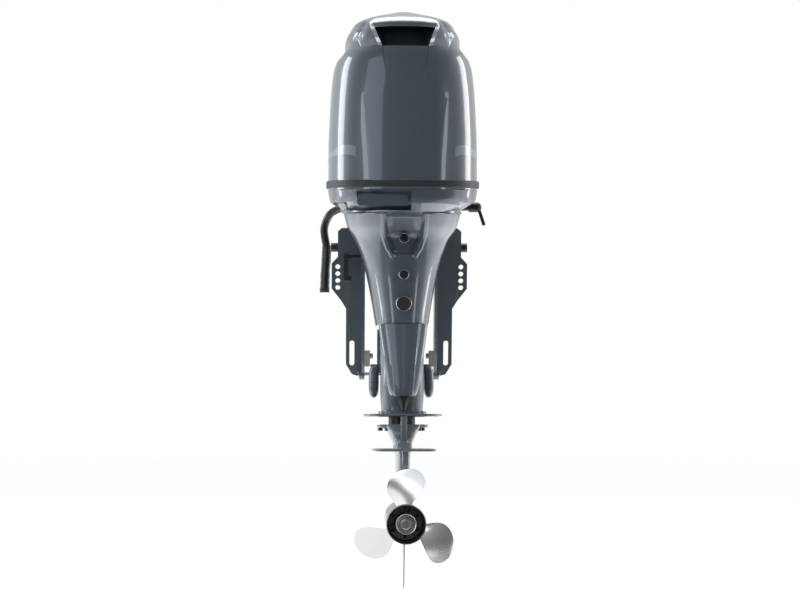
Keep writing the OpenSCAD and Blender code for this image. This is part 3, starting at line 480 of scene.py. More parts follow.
def shader(name, colour, rough, metallic=0.0, coat=0.0, coat_rough=0.03, sheen=0.0):
    """New material with the plain values set on its Principled BSDF."""
    made = bpy.data.materials.new(name)
    made.use_nodes = True
    made.diffuse_color = (*colour, 1)
    skin_node = made.node_tree.nodes["Principled BSDF"]
    for label, value in (("Base Color", (*colour, 1)), ("Roughness", rough),
                         ("Metallic", metallic), ("Coat Weight", coat),
                         ("Coat Roughness", coat_rough), ("Sheen Weight", sheen)):
        skin_node.inputs[label].default_value = value
    return made, made.node_tree, skin_node


def bump(tree, skin_node, height, strength, distance):
    relief = add_node(tree, "ShaderNodeBump", {"Height": height},
                      Strength=strength, Distance=distance)
    tree.links.new(relief.outputs[0], skin_node.inputs["Normal"])


def gloss_paint(name, colour, rough=0.34, coat=1.0, flake=0.5, dust=0.12, wear=0.0):
    """Metallic paint under clear lacquer, with fine flake, faint clouding and dust."""
    made, tree, skin_node = shader(name, colour, rough, 0.25, coat, 0.025)
    flakes = use_effect(tree, "metal_flake", Scale=1400.0, Density=0.32)
    bright = tuple(min(1.0, c * 2.4 + 0.03) for c in colour)
    dark = tuple(c * 0.86 for c in colour)
    base = colour_mix(tree, flakes["Cloud"], dark, tuple(c * 1.12 for c in colour))
    lively = colour_mix(tree, number(tree, "MULTIPLY", flakes["Glint"], flake), base, bright)
    dusty = use_effect(tree, "settled_dust", Amount=dust)["Mask"]
    shown = colour_mix(tree, dusty, lively, (0.34, 0.33, 0.31))
    if wear:
        worn = use_effect(tree, "worn_edges", Amount=wear)["Mask"]
        shown = colour_mix(tree, worn, shown, (0.45, 0.46, 0.47))
    tree.links.new(shown, skin_node.inputs["Base Color"])
    orange_peel = use_effect(tree, "cast_grain", Scale=90.0)["Height"]
    bump(tree, skin_node, orange_peel, 0.02, 0.0006)
    tree.links.new(number(tree, "ADD", number(tree, "MULTIPLY", dusty, 0.3), rough),
                   skin_node.inputs["Roughness"])
    return made


def grained(name, colour, rough, metallic=0.0, scale=500.0, relief=0.15, coat=0.0, wear=0.3,
            dust=0.15, sheen=0.0, worn_to=(0.5, 0.5, 0.5)):
    """Moulded, cast or rubbery surface with grain, clouding, worn edges and dust."""
    made, tree, skin_node = shader(name, colour, rough, metallic, coat, 0.12, sheen)
    grain = use_effect(tree, "cast_grain", Scale=scale)
    base = colour_mix(tree, grain["Mask"], tuple(c * 0.8 for c in colour),
                      tuple(min(1, c * 1.2) for c in colour))
    worn = use_effect(tree, "worn_edges", Amount=wear)["Mask"]
    dusty = use_effect(tree, "settled_dust", Amount=dust)["Mask"]
    shown = colour_mix(tree, dusty, colour_mix(tree, worn, base, worn_to), (0.36, 0.35, 0.33))
    tree.links.new(shown, skin_node.inputs["Base Color"])
    tree.links.new(number(tree, "ADD", number(tree, "MULTIPLY", grain["Mask"], 0.12),
                          rough - 0.06), skin_node.inputs["Roughness"])
    bump(tree, skin_node, grain["Height"], relief, 0.0004)
    return made


def bare_metal(name, colour, rough, along=30.0, across=900.0, relief=0.06, stain=0.1):
    """Machined or polished metal with fine tool lines and faint staining."""
    made, tree, skin_node = shader(name, colour, rough, 1.0)
    lines = use_effect(tree, "brushed_lines", Along=along, Across=across)
    shade = colour_mix(tree, lines["Mask"], tuple(c * (1 - stain) for c in colour), colour)
    tree.links.new(shade, skin_node.inputs["Base Color"])
    tree.links.new(number(tree, "ADD", number(tree, "MULTIPLY", lines["Height"], 0.10),
                          max(0.0, rough - 0.05)), skin_node.inputs["Roughness"])
    bump(tree, skin_node, lines["Height"], relief, 0.0002)
    return made


def make_materials():
    """Every finish on the motor, by name."""
    make_effects()
    hue = colours()
    return {
        "cowl": gloss_paint("cowl_paint", tuple(hue.cowl)),
        "bracket": gloss_paint("bracket_paint", tuple(hue.bracket), 0.42, 0.7, 0.3, 0.2, 0.5),
        "lower": gloss_paint("lower_unit_paint", tuple(hue.lower), 0.40, 0.8, 0.3, 0.1, 0.3),
        "stripe": gloss_paint("stripe_paint", tuple(hue.stripe), 0.3, 1.0, 0.6, 0.1),
        "band": grained("band_rubber", (0.034, 0.036, 0.036), 0.55, scale=260.0, relief=0.2,
                        wear=0.1, worn_to=(0.12, 0.12, 0.12)),
        "rubber": grained("soft_rubber", (0.020, 0.020, 0.020), 0.65, scale=300.0, relief=0.25,
                          wear=0.1, worn_to=(0.1, 0.1, 0.1), sheen=0.1),
        # Black plastic for the CAD parts; on the propeller the same finish is painted shade
        # inside the hub.
        "plastic_and_painted_shade": grained("black_plastic_and_painted_shade", (0.014, 0.014, 0.015), 0.38, scale=700.0,
                           relief=0.12, wear=0.15, worn_to=(0.08, 0.08, 0.08)),
        # Near-black finish inside the intake: painted shade of the deep opening.
        "mouth": grained("intake_painted_shade", (0.010, 0.011, 0.013), 0.5, scale=600.0,
                         relief=0.1, wear=0.0),
        "steel": bare_metal("polished_steel", tuple(hue.steel), 0.25, 60.0, 500.0, 0.03, 0.10),
        "machined": bare_metal("machined_steel", (0.56, 0.56, 0.57), 0.26),
        "dark_steel": bare_metal("blackened_steel", (0.08, 0.08, 0.085), 0.36),
        "cast": grained("cast_aluminium", (0.36, 0.365, 0.37), 0.45, 0.8, 260.0, 0.35),
        "zinc": grained("zinc_anode", (0.40, 0.385, 0.35), 0.62, 0.5, 180.0, 0.4,
                        worn_to=(0.62, 0.61, 0.58)),
        "nylon": grained("white_nylon", (0.62, 0.60, 0.52), 0.42, scale=300.0, relief=0.1),
        "filter": gloss_paint("filter_paint", (0.02, 0.03, 0.09), 0.35, 0.8, 0.1),
        "pump_rubber": grained("impeller_rubber", (0.06, 0.02, 0.016), 0.6, scale=320.0,
                               relief=0.2, wear=0.1, worn_to=(0.15, 0.08, 0.07)),
        "jacket": grained("cable_jacket", (0.012, 0.012, 0.013), 0.34, scale=420.0,
                          relief=0.18, coat=0.2, wear=0.1, worn_to=(0.08, 0.08, 0.08)),
    }


MATERIALS = {}

# The finish of each CAD node that stays as it is, with the width of its softened edges
CAD_FINISHES = {
    "bracket": (1.6, "clamp_bracket_port clamp_bracket_starboard swivel_bracket "
                     "lower_mount_yoke tilt_cylinder"),
    "plastic_and_painted_shade": (0.8, "tilt_support_lever control_unit intake_manifold spark_coils head_cover "
                     "belt_cover tilt_switch fuel_connector water_strainers starter_motor "
                     "water_pump pilot_outlet flush_plug"),
    "rubber": (0.8, "rubber_mounts timing_belt idle_exhaust_plug"),
    "machined": (0.5, "tilt_tube_nuts cylinder_pin ram_pin crankshaft camshaft driveshaft "
                      "pinion_gear forward_gear reverse_gear dog_clutch shift_rod "
                      "propeller_shaft"),
    "steel": (0.5, "tilt_ram"),
    "dark_steel": (0.6, "tilt_tube steering_arm_shaft gearcase_bolts"),
    "cast": (1.2, "exhaust_guide cylinder_block cylinder_head flywheel oil_pan "
                  "bearing_carrier"),
    "zinc": (1.5, "bracket_anodes"),
    "nylon": (0.4, "swivel_bushes"),
    "filter": (1.5, "oil_filter"),
    "pump_rubber": (0.5, "impeller"),
    "cowl": (1.0, "latch_lever"),
    "lower": (1.2, "trim_tab"),
}


def shading_group():
    """Geometry nodes that join a CAD mesh's loose triangles and smooth its round faces."""
    tree = bpy.data.node_groups.new("join_and_smooth", "GeometryNodeTree")
    for way in ("INPUT", "OUTPUT"):
        tree.interface.new_socket(name="Geometry", in_out=way, socket_type="NodeSocketGeometry")
    ask, give = tree.nodes.new("NodeGroupInput"), tree.nodes.new("NodeGroupOutput")
    merge = add_node(tree, "GeometryNodeMergeByDistance", {"Geometry": ask.outputs[0]},
                     Distance=0.00001)
    faces = add_node(tree, "GeometryNodeSetShadeSmooth", {"Geometry": merge.outputs[0]},
                     domain="FACE")
    angle = add_node(tree, "GeometryNodeInputMeshEdgeAngle")
    round_edge = add_node(tree, "FunctionNodeCompare", {0: angle.outputs[0]},
                          operation="LESS_THAN")
    round_edge.inputs[1].default_value = math.radians(SHARP_DEG)
    edges = add_node(tree, "GeometryNodeSetShadeSmooth",
                     {"Geometry": faces.outputs[0], "Shade Smooth": round_edge.outputs[0]},
                     domain="EDGE")
    tree.links.new(edges.outputs[0], give.inputs[0])
    return tree


# ---------------------------------------------------------------- cowls and apron

# Height, half width, front, back, squareness and slope of each shell, from the foot up
COWL = [(200.3, 188.5, 118, -470, 3.2, 0.115), (300, 188.5, 114, -470, 3.2, 0.069),
        (369, 185.5, 106, -469, 3.2, 0.0345), (416, 182.5, 98, -467, 3.1, 0),
        (463, 178, 86, -462, 3.0, 0), (494, 170, 72, -457, 2.9, 0.005),
        (518, 155, 56, -449, 2.8, 0.012), (534, 148.5, 40, -441, 2.8, 0.02),
        (562, 146, 10, -428, 2.8, 0.032), (584, 136, -20, -418, 2.7, 0.045),
        (604, 125, -56, -404, 2.6, 0.06), (624, 102, -100, -384, 2.5, 0.085),
        (643, 32, -150, -345, 2.4, 0.1)]
BOWL = [(126, 110, 30, -370, 3, 0.115), (135, 130, 50, -395, 3, 0.115),
        (143, 148, 68, -412, 3, 0.115), (158, 172, 88, -438, 3.1, 0.115),
        (168, 183, 102, -454, 3.2, 0.115), (200, 190, 118, -470, 3.2, 0.115)]
APRON = [(-168, 67, -20, -316, 2.6, 0), (-107, 77, -10, -322, 2.6, 0),
         (-31, 92, 10, -334, 2.6, 0), (45, 115, 40, -352, 2.6, 0.02),
         (100, 140, 60, -386, 2.8, 0.08), (141, 149, 68, -411.5, 3, 0.115)]
BAND = [(190, 188.5, 118, -470, 3.2, 0.115), (240, 188.5, 118, -470, 3.2, 0.115)]
REAR_COVER = [(-386, 6, -266, -318, 2.2, 0), (-362, 14, -262, -322, 2.4, 0),
              (-345, 34, -255, -324, 2.6, 0), (-290, 45, -250, -322, 2.6, 0),
              (-230, 54, -245, -318, 2.6, 0), (-170, 62, -240, -314, 2.6, 0)]
LEG = [(-388, 52, -118, -262, 2.8, 0), (-345, 55, -118, -268, 2.8, 0),
       (-250, 55, -118, -278, 2.8, 0), (-168, 56, -118, -286, 2.8, 0),
       (0, 62, -118, -296, 2.8, 0), (70, 80, -118, -310, 3, 0), (98, 92, -116, -322, 3.4, 0)]

# Lines on the cowl's stern face as (height, distance from the middle)
MOUTH_SIDE = [(140, 30), (380, 36), (407, 41), (455, 52), (499, 58), (502, 57), (557, 77),
              (568, 79), (585, 66), (600, 32), (609, 12)]
RIM_SIDE = [(140, 34), (380, 40), (407, 46), (455, 59), (499, 66), (505, 66), (557, 85),
            (568, 86), (585, 74), (600, 38), (609, 15)]
PANEL_SIDE = [(140, 80), (218, 80.5), (273, 84), (325, 92), (373, 103), (440, 106),
              (505, 108), (560, 90), (568, 92), (585, 82), (600, 44), (609, 18)]
WEDGE_SIDE = [(140, 114), (218, 113), (300, 111), (373, 105.5), (440, 111), (505, 119),
              (541, 121), (560, 108), (568, 103), (585, 90), (600, 50), (609, 21)]
FLANK = [(140, 166), (500, 154), (541, 132), (560, 120), (568, 115), (585, 100), (600, 58),
         (609, 24)]
# True heights of the ledge under the crown and of the mouth's top, along those lines
LEDGE = (502, 502, 503, 505, 541, 491)
BROW = (557, 557, 558, 560, 564, 558)


def stern_keys(t, section, foot):
    """(line, height) of the six key lines on a row, from the middle to the flank."""
    lines = (None, MOUTH_SIDE, RIM_SIDE, PANEL_SIDE, WEDGE_SIDE, FLANK)
    low = {"body": foot, "mouth": LEDGE, "crown": BROW}[section]
    high = {"body": LEDGE, "mouth": BROW, "crown": (608,) * 6}[section]
    keys = []
    for k, line in enumerate(lines):
        z = mix(low[k], high[k], t)
        keys.append((0.0 if line is None else straight_through(line, z), z))
    return keys


def cowl_pushes(section, keys):
    """How far each key line is pushed outwards, from the middle to the flank."""
    depth = sizes().mouth_depth / MM
    if section == "mouth":
        return [-depth, -depth, -4.5, 1.0, -0.5, -6.5, -3.5]
    pushes = []
    for k, (_, z) in enumerate([keys[0], keys[1], *keys[1:]]):
        panel = sizes().panel_rise / MM * ease((373 - z) / 210) if k < 5 else 0.0
        if section == "body":
            hollow = -3.0 * ease((z - 400) / 95) if k < 2 else 0.0
            pushes.append(panel + hollow)
        else:
            brow = -4.5 * ease((570 - z) / 12)
            pushes.append([brow, brow, brow, 1.0 * ease((580 - z) / 20), -0.5,
                           -6.5 * ease((590 - z) / 28), -3.5 * ease((590 - z) / 30)][k])
    return pushes


def cowl_stern(t, section, foot):
    keys = stern_keys(t, section, foot)
    pushes = cowl_pushes(section, keys)
    lines = [keys[0], keys[1], (keys[1][0] + 0.6, keys[1][1]), *keys[2:]]
    half = []
    for k, steps in enumerate((6, 1, 2, 5, 5, 5)):
        for step in range(steps):
            s = step / steps
            x, z = (mix(lines[k][i], lines[k + 1][i], s) for i in (0, 1))
            half.append((x, z, mix(pushes[k], pushes[k + 1], s)))
    half.append((*lines[6], pushes[6]))
    return [(x, level_of(COWL, x, z), push) for x, z, push in mirrored(half)]


def top_cowl_mesh():
    """Top cowl: stern panel, creases, intake mouth, ledge and crown in one skin."""
    foot = []
    for line in (None, MOUTH_SIDE, RIM_SIDE, PANEL_SIDE, WEDGE_SIDE, FLANK):
        x = 0.0 if line is None else line[0][1]
        foot.append(side_place(COWL, COWL[0][0], stern_angle(COWL, COWL[0][0], x or 0.01))[0].z)
    rows = []
    for section, steps in (("body", 34), ("mouth", 8), ("crown", 14)):
        for step in range(steps + 1):
            stern = cowl_stern(step / steps, section, foot)
            flank = stern[-1][2]
            rows.append(shell_row(COWL, stern, 72,
                                  lambda t, p=flank: p * ease(1 - 6 * min(t, 1 - t))))
    bm = skin(rows, "high")
    # Faces sunk more than 8 mm into the intake take the near-black second finish: painted shade
    # inside the opening.
    for face in bm.faces:
        x, y, z = face.calc_center_median()
        if abs(x) < 80 and 499 < z < 560 and y < -360:
            level = level_of(COWL, x, z)
            skin_y = side_place(COWL, level, stern_angle(COWL, level, x or 0.01))[0].y
            face.material_index = int(y - skin_y > 8)
    return bm


def stripe_mesh(side):
    """Plain tapering stripe along one side of the top cowl, standing just proud of it."""
    rows, start = [], stern_angle(COWL, 300, 121)
    for k in range(9):
        rise = mix(-10, 10, k / 8)
        row = []
        for step in range(61):
            t = step / 60
            taper = mix(1.0, 0.25, ease(t * 1.2 - 0.2))
            height = mix(281, 214, ease(t * 0.9) * t ** 0.3) + 52 * t
            angle = mix(start, math.radians(40), t ** 1.6)
            push = 0.45 if 0 < k < 8 and 0 < step < 60 else 0.05
            point, out = side_place(COWL, height - 6 + rise * taper, angle)
            point = point + out * push
            row.append((point.x * side, point.y, point.z))
        rows.append(row)
    bm = skin(rows)
    if side < 0:
        bmesh.ops.reverse_faces(bm, faces=bm.faces)
    for face in bm.faces:
        face.normal_update()
    return bm


def bottom_cowl_mesh():
    """Bottom cowl: a bowl with the latch recess sunk into its stern face."""
    left, right, low, high, sunk = -118, 14, 101, 144, -22
    top = BOWL[-1][0]

    def row(t, kind):
        marks = []
        xs = ([mix(-150, left, s / 4) for s in range(5)] + [left + 0.6]
              + [mix(left, right, s / 10) for s in range(1, 10)] + [right - 0.6]
              + [mix(right, 150, s / 8) for s in range(9)])
        for x in xs:
            inside = left < x < right
            foot = side_place(BOWL, 126, stern_angle(BOWL, 126, math.copysign(
                min(abs(x) * 0.6, 80), x or 1)))[0].z
            rim = side_place(BOWL, top, stern_angle(BOWL, top, x or 0.01))[0].z
            z = {"foot": mix(foot, low, t), "recess": mix(low, high, t),
                 "rim": mix(high, rim, t)}[kind]
            shrink = mix(0.6, 1.0, ease(t * 1.4)) if kind == "foot" else 1.0
            place_x = x * shrink
            push = sunk if kind == "recess" and inside else 0.0
            marks.append((place_x, level_of(BOWL, place_x, z), push))
        return shell_row(BOWL, marks, 72)

    rows = [row(step / 9, "foot") for step in range(10)]
    rows += [row(step / 6, "recess") for step in range(7)]
    rows += [row(step / 4, "rim") for step in range(5)]
    return skin(rows, "low")


def band_mesh():
    """Rubber band round the parting line, with a rounded lip and a fine central groove."""
    profile = [(0.6, -9), (3.0, -9), (4.4, -8.2), (5.4, -6.6), (5.6, -1.2), (5.0, -0.5),
               (5.0, 0.5), (5.6, 1.2), (5.4, 6.6), (4.4, 8.2), (3.0, 9), (0.6, 9), (0.6, -9)]
    rows = []
    for push, rise in profile:
        stern = [(x, 214 + rise, push) for x in range(-150, 151, 10)]
        rows.append(shell_row(BAND, stern, 96))
    return skin(rows)


def apron_mesh():
    """Apron with the recess of the pilot outlet and its collar."""
    recess = [(-6, 20), (6, 26), (14, 32), (34, 38), (52, 44), (105, 45), (150, 46)]

    def row(z):
        half = straight_through(recess, z)
        deep = -15.0 * ease((z + 2) / 12) * ease((132 - z) / 26)
        collar = 3.4 * ease((z + 14) / 10) * ease((128 - z) / 40)
        fall = [(0, deep), (half - 0.8, deep), (half + 4, collar), (half + 10, collar),
                (half + 15, 0.0), (half + 22, 0.0)]
        marks = mirrored(stepped(fall, (6, 3, 3, 3, 3)))
        widest = straight_through([(-168, 52), (-31, 74), (45, 92), (150, 120)], z)
        scale = min(1.0, widest / marks[-1][0])
        return shell_row(APRON, [(x * scale, level_of(APRON, x * scale, z), p)
                                 for x, p in marks], 64)

    heights = ([-168 + 6 * k for k in range(26)]
               + [-12 + 2.5 * k for k in range(1, 12)] + [18 + 6 * k for k in range(1, 15)])
    rows = [row(z) for z in heights]
    top = [(x, 141, 0.0) for x in (mix(-100, 100, s / (len(rows[0]) - 65)) for s in
                                   range(len(rows[0]) - 64))]
    rows.append(shell_row(APRON, top, 64))
    bm = skin(rows)
    bmesh.ops.bisect_plane(bm, geom=list(bm.verts) + list(bm.edges) + list(bm.faces),
                           plane_co=(0, APRON_FRONT, 0), plane_no=(0, 1, 0), clear_outer=True)
    return bm


def rear_cover_mesh():
    """Tapering cover below the apron, with two raised creases and a double centre line."""
    def row(z):
        w = level_at(REAR_COVER, z)[0]
        crease = min(w * 0.72, straight_through([(-386, 12), (-347, 21), (-149, 38)], z))
        raised = 2.2 * ease((z + 386) / 30)
        line = min(1.6, w * 0.2)
        fall = [(0, raised), (line, raised), (line + 0.7, raised - 1.0 * ease((z + 386) / 30)),
                (line + 1.4, raised), (max(crease, line + 2), raised),
                (max(crease, line + 2) + min(3.0, w * 0.12), 0.0), (w * 0.93, 0.0)]
        marks = mirrored(stepped(fall, (1, 1, 1, 4, 1, 4)))
        return shell_row(REAR_COVER, [(x, z, p) for x, p in marks], 40)

    rows = [row(-386 + 6 * k) for k in range(37)]
    cover = skin(rows, "low high")
    for face in cover.faces:
        face.material_index = int(face.calc_center_median().z < -352)
    return cover


def trim_ring_mesh():
    """Raised rims round the pilot outlet and the two plugs in the apron."""
    rims = []
    for node in ("pilot_outlet", "flush_plug", "idle_exhaust_plug"):
        low, high = [[c / MM for c in corner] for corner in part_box(node)]
        r = (high[0] - low[0]) / 2 + 0.4
        centre = ((low[0] + high[0]) / 2, low[1], (low[2] + high[2]) / 2)
        rims.append(turned([(r, 3.0), (r, -0.4), (r + 0.7, -1.3), (r + 1.8, -1.3),
                            (r + 2.5, -0.2), (r + 2.8, 3.0), (r, 3.0)], 48, "Y", centre))
    return joined(*rims)


# ---------------------------------------------------------------- leg and gear housing


def leg_mesh():
    """Midsection: the cast leg, its splash plate and the flange it stands on."""
    rows = [shell_row(LEG, [(x, z, 0.0) for x in (mix(-40, 40, s / 12) for s in range(13))], 56)
            for z in [mix(-388, 98, k / 60) for k in range(61)]]
    leg = skin(rows, "low high")
    splash = plate(rounded([(-72, -100), (72, -100), (98, -140), (98, -285), (78, -318),
                            (-78, -318), (-98, -285), (-98, -140)], 26), -400, -394, 2.6)
    flange = plate(rounded([(-60, -112), (60, -112), (60, -270), (-60, -270)], 34),
                   -400, -386, 3)
    return joined(leg, splash, flange)


def fin_row(z, half, nose, tail, count=48):
    row = []
    for k in range(count):
        a = FULL_TURN * k / count
        t = (1 - math.sin(a)) / 2
        power = 0.3 if t > 0.5 else 0.8
        row.append((half * math.copysign(abs(math.cos(a)) ** power, math.cos(a)),
                    nose + (tail - nose) * t, z))
    return row + [row[0]]


def fin_mesh(stations, step=4):
    knots = [[(s[0], s[k]) for s in stations] for k in (1, 2, 3)]
    count = max(2, round((stations[-1][0] - stations[0][0]) / step))
    heights = [mix(stations[0][0], stations[-1][0], k / count) for k in range(count + 1)]
    return skin([fin_row(z, *(smooth_through(line, z) for line in knots)) for z in heights],
                "low high")


def gear_housing_mesh():
    """Gear housing: strut with its flares, torpedo, skeg, plates and trailing strip."""
    strut = fin_mesh([(-672, 15, -90, -374), (-640, 22, -92, -366), (-608, 17.5, -104, -352),
                      (-560, 17.5, -112, -348), (-510, 17.5, -110, -360),
                      (-492, 19, -107, -372), (-483, 23, -104, -376), (-472, 23, -105, -352),
                      (-455, 30, -106, -330), (-440, 38, -103, -324), (-430, 47, -100, -318),
                      (-420, 55, -96, -312)], 3)
    skeg = fin_mesh([(-825, 1.2, -272, -326), (-822, 2.2, -267, -331), (-790, 2.85, -238, -338),
                     (-758, 2.85, -207, -346), (-724, 3.1, -178, -356),
                     (-704, 5.5, -160, -366), (-690, 11, -148, -374)], 4)
    nose = [(0, -66), (5, -66.5), (9, -68), (20, -76), (31, -92), (40, -118), (45, -160),
            (46, -210), (46, -385), (44.5, -393), (41, -395)]
    shape = [(-y, r) for r, y in nose]
    round_nose = [(0.0, -66.0)] + [(smooth_through(shape, s), -s) for s in
                                   [66 + 1.5 * k * k for k in range(1, 9)]]
    rest = [(smooth_through(shape, s), -s) for s in range(170, 386, 12)]
    torpedo = turned([(r, -y) for r, y in round_nose + rest] + [(44.5, 393), (41, 395),
                                                                (40.2, 395), (40.2, 372),
                                                                (0, 372)],
                     72, "Y", (0, 0, PROP_Z))
    bmesh.ops.rotate(torpedo, verts=torpedo.verts, cent=(0, 0, PROP_Z),
                     matrix=Matrix.Rotation(math.pi, 3, "Z"))
    plate_outline = [(-22, -92), (22, -92), (67, -190), (79, -300), (75, -438), (63, -452),
                     (-63, -452), (-75, -438), (-79, -300), (-67, -190)]
    vent = plate(rounded(plate_outline, 30), -486, -480, 2.4)
    flange = plate(rounded([(-63, -104), (63, -104), (63, -300), (-63, -300)], 34),
                   -428, -420.4, 2.5)
    strip = plate(rounded([(-7.5, -300), (7.5, -300), (7.5, -334), (-7.5, -334)], 3),
                  -482, -400.5, 1.2)
    return joined(strut, skeg, torpedo, vent, flange, strip)


def pod_mesh():
    """Rounded covers over the two lower mounts, each with a raised seam round it."""
    (x0, y0, z0), (x1, y1, z1) = [[c / MM for c in corner]
                                  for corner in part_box("lower_mount_covers")]
    thick = POD_THICK
    pods = []
    for side, inner in ((-1, x0), (1, x1 - thick)):
        shape = []
        for k in range(33):
            t = -1 + k / 16
            swell = (1 - abs(t) ** 3.2) ** (1 / 2.4)
            seam = 1.0 if abs(t) < 0.035 else 0.965
            shape.append((mix(z0, z1, (t + 1) / 2), max(0.02, swell) * seam))
        rows = [[(inner + thick / 2 + thick / 2 * r
                  * math.copysign(abs(math.cos(a)) ** 0.75, math.cos(a)),
                  (y0 + y1) / 2 + (y1 - y0) / 2 * r
                  * math.copysign(abs(math.sin(a)) ** 0.6, math.sin(a)), z)
                 for a in [FULL_TURN * step / 40 for step in range(40)]] for z, r in shape]
        pods.append(skin([row + [row[0]] for row in rows], "low high"))
    return joined(*pods)


# ---------------------------------------------------------------- propeller


def blade_row(r, lead, trail, thickness, steps=14):
    pitch = sizes().propeller_pitch / MM
    row = []
    for k in range(2 * steps):
        u = k / steps if k < steps else 2 - k / steps
        side = 1 if k < steps else -1
        angle = math.radians(lead + (trail - lead) * u)
        belly = -thickness * math.sin(math.pi * u) ** 0.8 * side / 2
        y = -pitch * (math.degrees(angle) - (lead + trail) / 2) / 360 - (r - 44) * 0.16 + belly
        row.append((r * math.sin(angle), y, r * math.cos(angle)))
    return row + [row[0]]


def blade_mesh():
    tip = sizes().propeller_radius / MM
    root = 42.8
    rows = []
    for k in range(25):
        u = 1 - (1 - k / 24) ** 1.25
        half = (26 * math.sin(math.radians(40 + 140 * u ** 1.35)) ** 0.6 + 2 if u < 0.985
                else 3 + 90 * (1 - u))
        skew = 12 * u * u
        rows.append(blade_row(mix(root, tip, u), skew - half, skew + half, mix(6.2, 1.6, u)))
    return skin(rows, "low high")


def propeller_mesh():
    """Hub ring, inner sleeve, spokes and blades of the polished propeller."""
    outer = turned([(40.8, 0.4), (45.6, 0.4), (46.3, 1.4), (45.6, 22), (44.8, 58), (45.4, 80),
                    (46.6, 92), (47.8, 97), (47.6, 98), (45.6, 98), (44.4, 94), (41.4, 78),
                    (40.6, 40), (40.8, 0.4)], 96)
    inner = turned([(8.6, 2), (25, 2), (25.8, 3), (25.8, 85), (25.2, 86.6), (23.8, 87.4),
                    (22.4, 86.6), (21.8, 84.8), (20.2, 84.8), (19.6, 86.0), (18.8, 86.4),
                    (18, 85), (18, 74), (8.6, 74), (8.6, 2)], 72)
    # The inner wall of the hub ring and the sleeve, all but its end rim, take the black second
    # finish: painted shade in the unlit exhaust passage, with its soot.
    for face in outer.faces:
        x, y, z = face.calc_center_median()
        face.material_index = int(math.hypot(x, z) < 44.6 and 2 < y)
    for face in inner.faces:
        face.material_index = int(face.calc_center_median().y < 85)
    parts = [outer, inner]
    for k in range(3):
        spoke = bmesh.new()
        bmesh.ops.create_cube(spoke, size=1)
        bmesh.ops.scale(spoke, vec=(5, 72, 22), verts=spoke.verts)
        bmesh.ops.translate(spoke, vec=(0, 44, 31), verts=spoke.verts)
        bmesh.ops.rotate(spoke, cent=(0, 0, 0), verts=spoke.verts,
                         matrix=Matrix.Rotation(math.radians(-20 - 120 * k), 3, "Y"))
        # The spokes in the passage take the black finish too, as painted shade.
        for face in spoke.faces:
            face.material_index = 1
        parts.append(spoke)
    flip = Matrix.Rotation(math.pi, 4, "Z")
    for part in parts:
        part.transform(flip)
    count = sizes().blade_count
    for k in range(count):
        blade = blade_mesh()
        blade.transform(Matrix.Rotation(math.radians(-5 + 360 * k / count), 4, "Y")
                        @ Matrix.Translation((0, -44.1, 0)))
        parts.append(blade)
    whole = joined(*parts)
    whole.transform(Matrix.Translation((0, HUB_Y, PROP_Z)))
    return whole


def propeller_nut_mesh():
    """Castellated nut with its washer."""
    washer = turned([(8.6, -1), (17.4, -1), (18, 0), (17.4, 1.6), (8.6, 1.6), (8.6, -1)], 48)
    ring = bmesh.new()
    bmesh.ops.create_cone(ring, cap_ends=True, segments=6, radius1=14.4, radius2=14.4, depth=11)
    bmesh.ops.rotate(ring, cent=(0, 0, 0), verts=ring.verts,
                     matrix=Matrix.Rotation(math.pi / 2, 3, "X"))
    bmesh.ops.translate(ring, vec=(0, 7.2, 0), verts=ring.verts)
    soften_all(ring, 0.8)
    teeth = []
    for k in range(6):
        tooth = bmesh.new()
        bmesh.ops.create_cube(tooth, size=1)
        bmesh.ops.scale(tooth, vec=(5.6, 4.6, 3.4), verts=tooth.verts)
        soften_all(tooth, 0.5)
        bmesh.ops.translate(tooth, vec=(0, 14.6, 10.2), verts=tooth.verts)
        bmesh.ops.rotate(tooth, cent=(0, 0, 0), verts=tooth.verts,
                         matrix=Matrix.Rotation(math.radians(60 * k), 3, "Y"))
        teeth.append(tooth)
    whole = joined(washer, ring, *teeth)
    whole.transform(Matrix.Translation((0, NUT_Y, PROP_Z)) @ Matrix.Rotation(math.pi, 4, "Z"))
    return whole


# ---------------------------------------------------------------- cables

CABLE_ROUTE = [(-150, -60, 158), (-150, -20, 158), (-150, 30, 158), (-158, 43, 159),
               (-170, 53, 156), (-184, 62, 148), (-194, 74, 132), (-200, 82, 112),
               (-199, 87, 92), (-196, 90, 74), (-194, 92, 60), (-194, 94, 50),
               (-195, 95, 25), (-197, 96, 0), (-198, 97, -30), (-199, 97, -62)]
SLEEVE_FROM = 10


def smooth_route(points, per_span=8):
    """Catmull-Rom line through the route's points, as (place, share of the route's spans)."""
    out = []
    for k in range(len(points) - 1):
        p = [Vector(points[min(max(k + d, 0), len(points) - 1)]) for d in (-1, 0, 1, 2)]
        for step in range(per_span):
            t = step / per_span
            out.append((0.5 * (2 * p[1] + (p[2] - p[0]) * t
                               + (2 * p[0] - 5 * p[1] + 4 * p[2] - p[3]) * t * t
                               + (3 * p[1] - p[0] - 3 * p[2] + p[3]) * t ** 3), k + t))
    out.append((Vector(points[-1]), len(points) - 1.0))
    return out


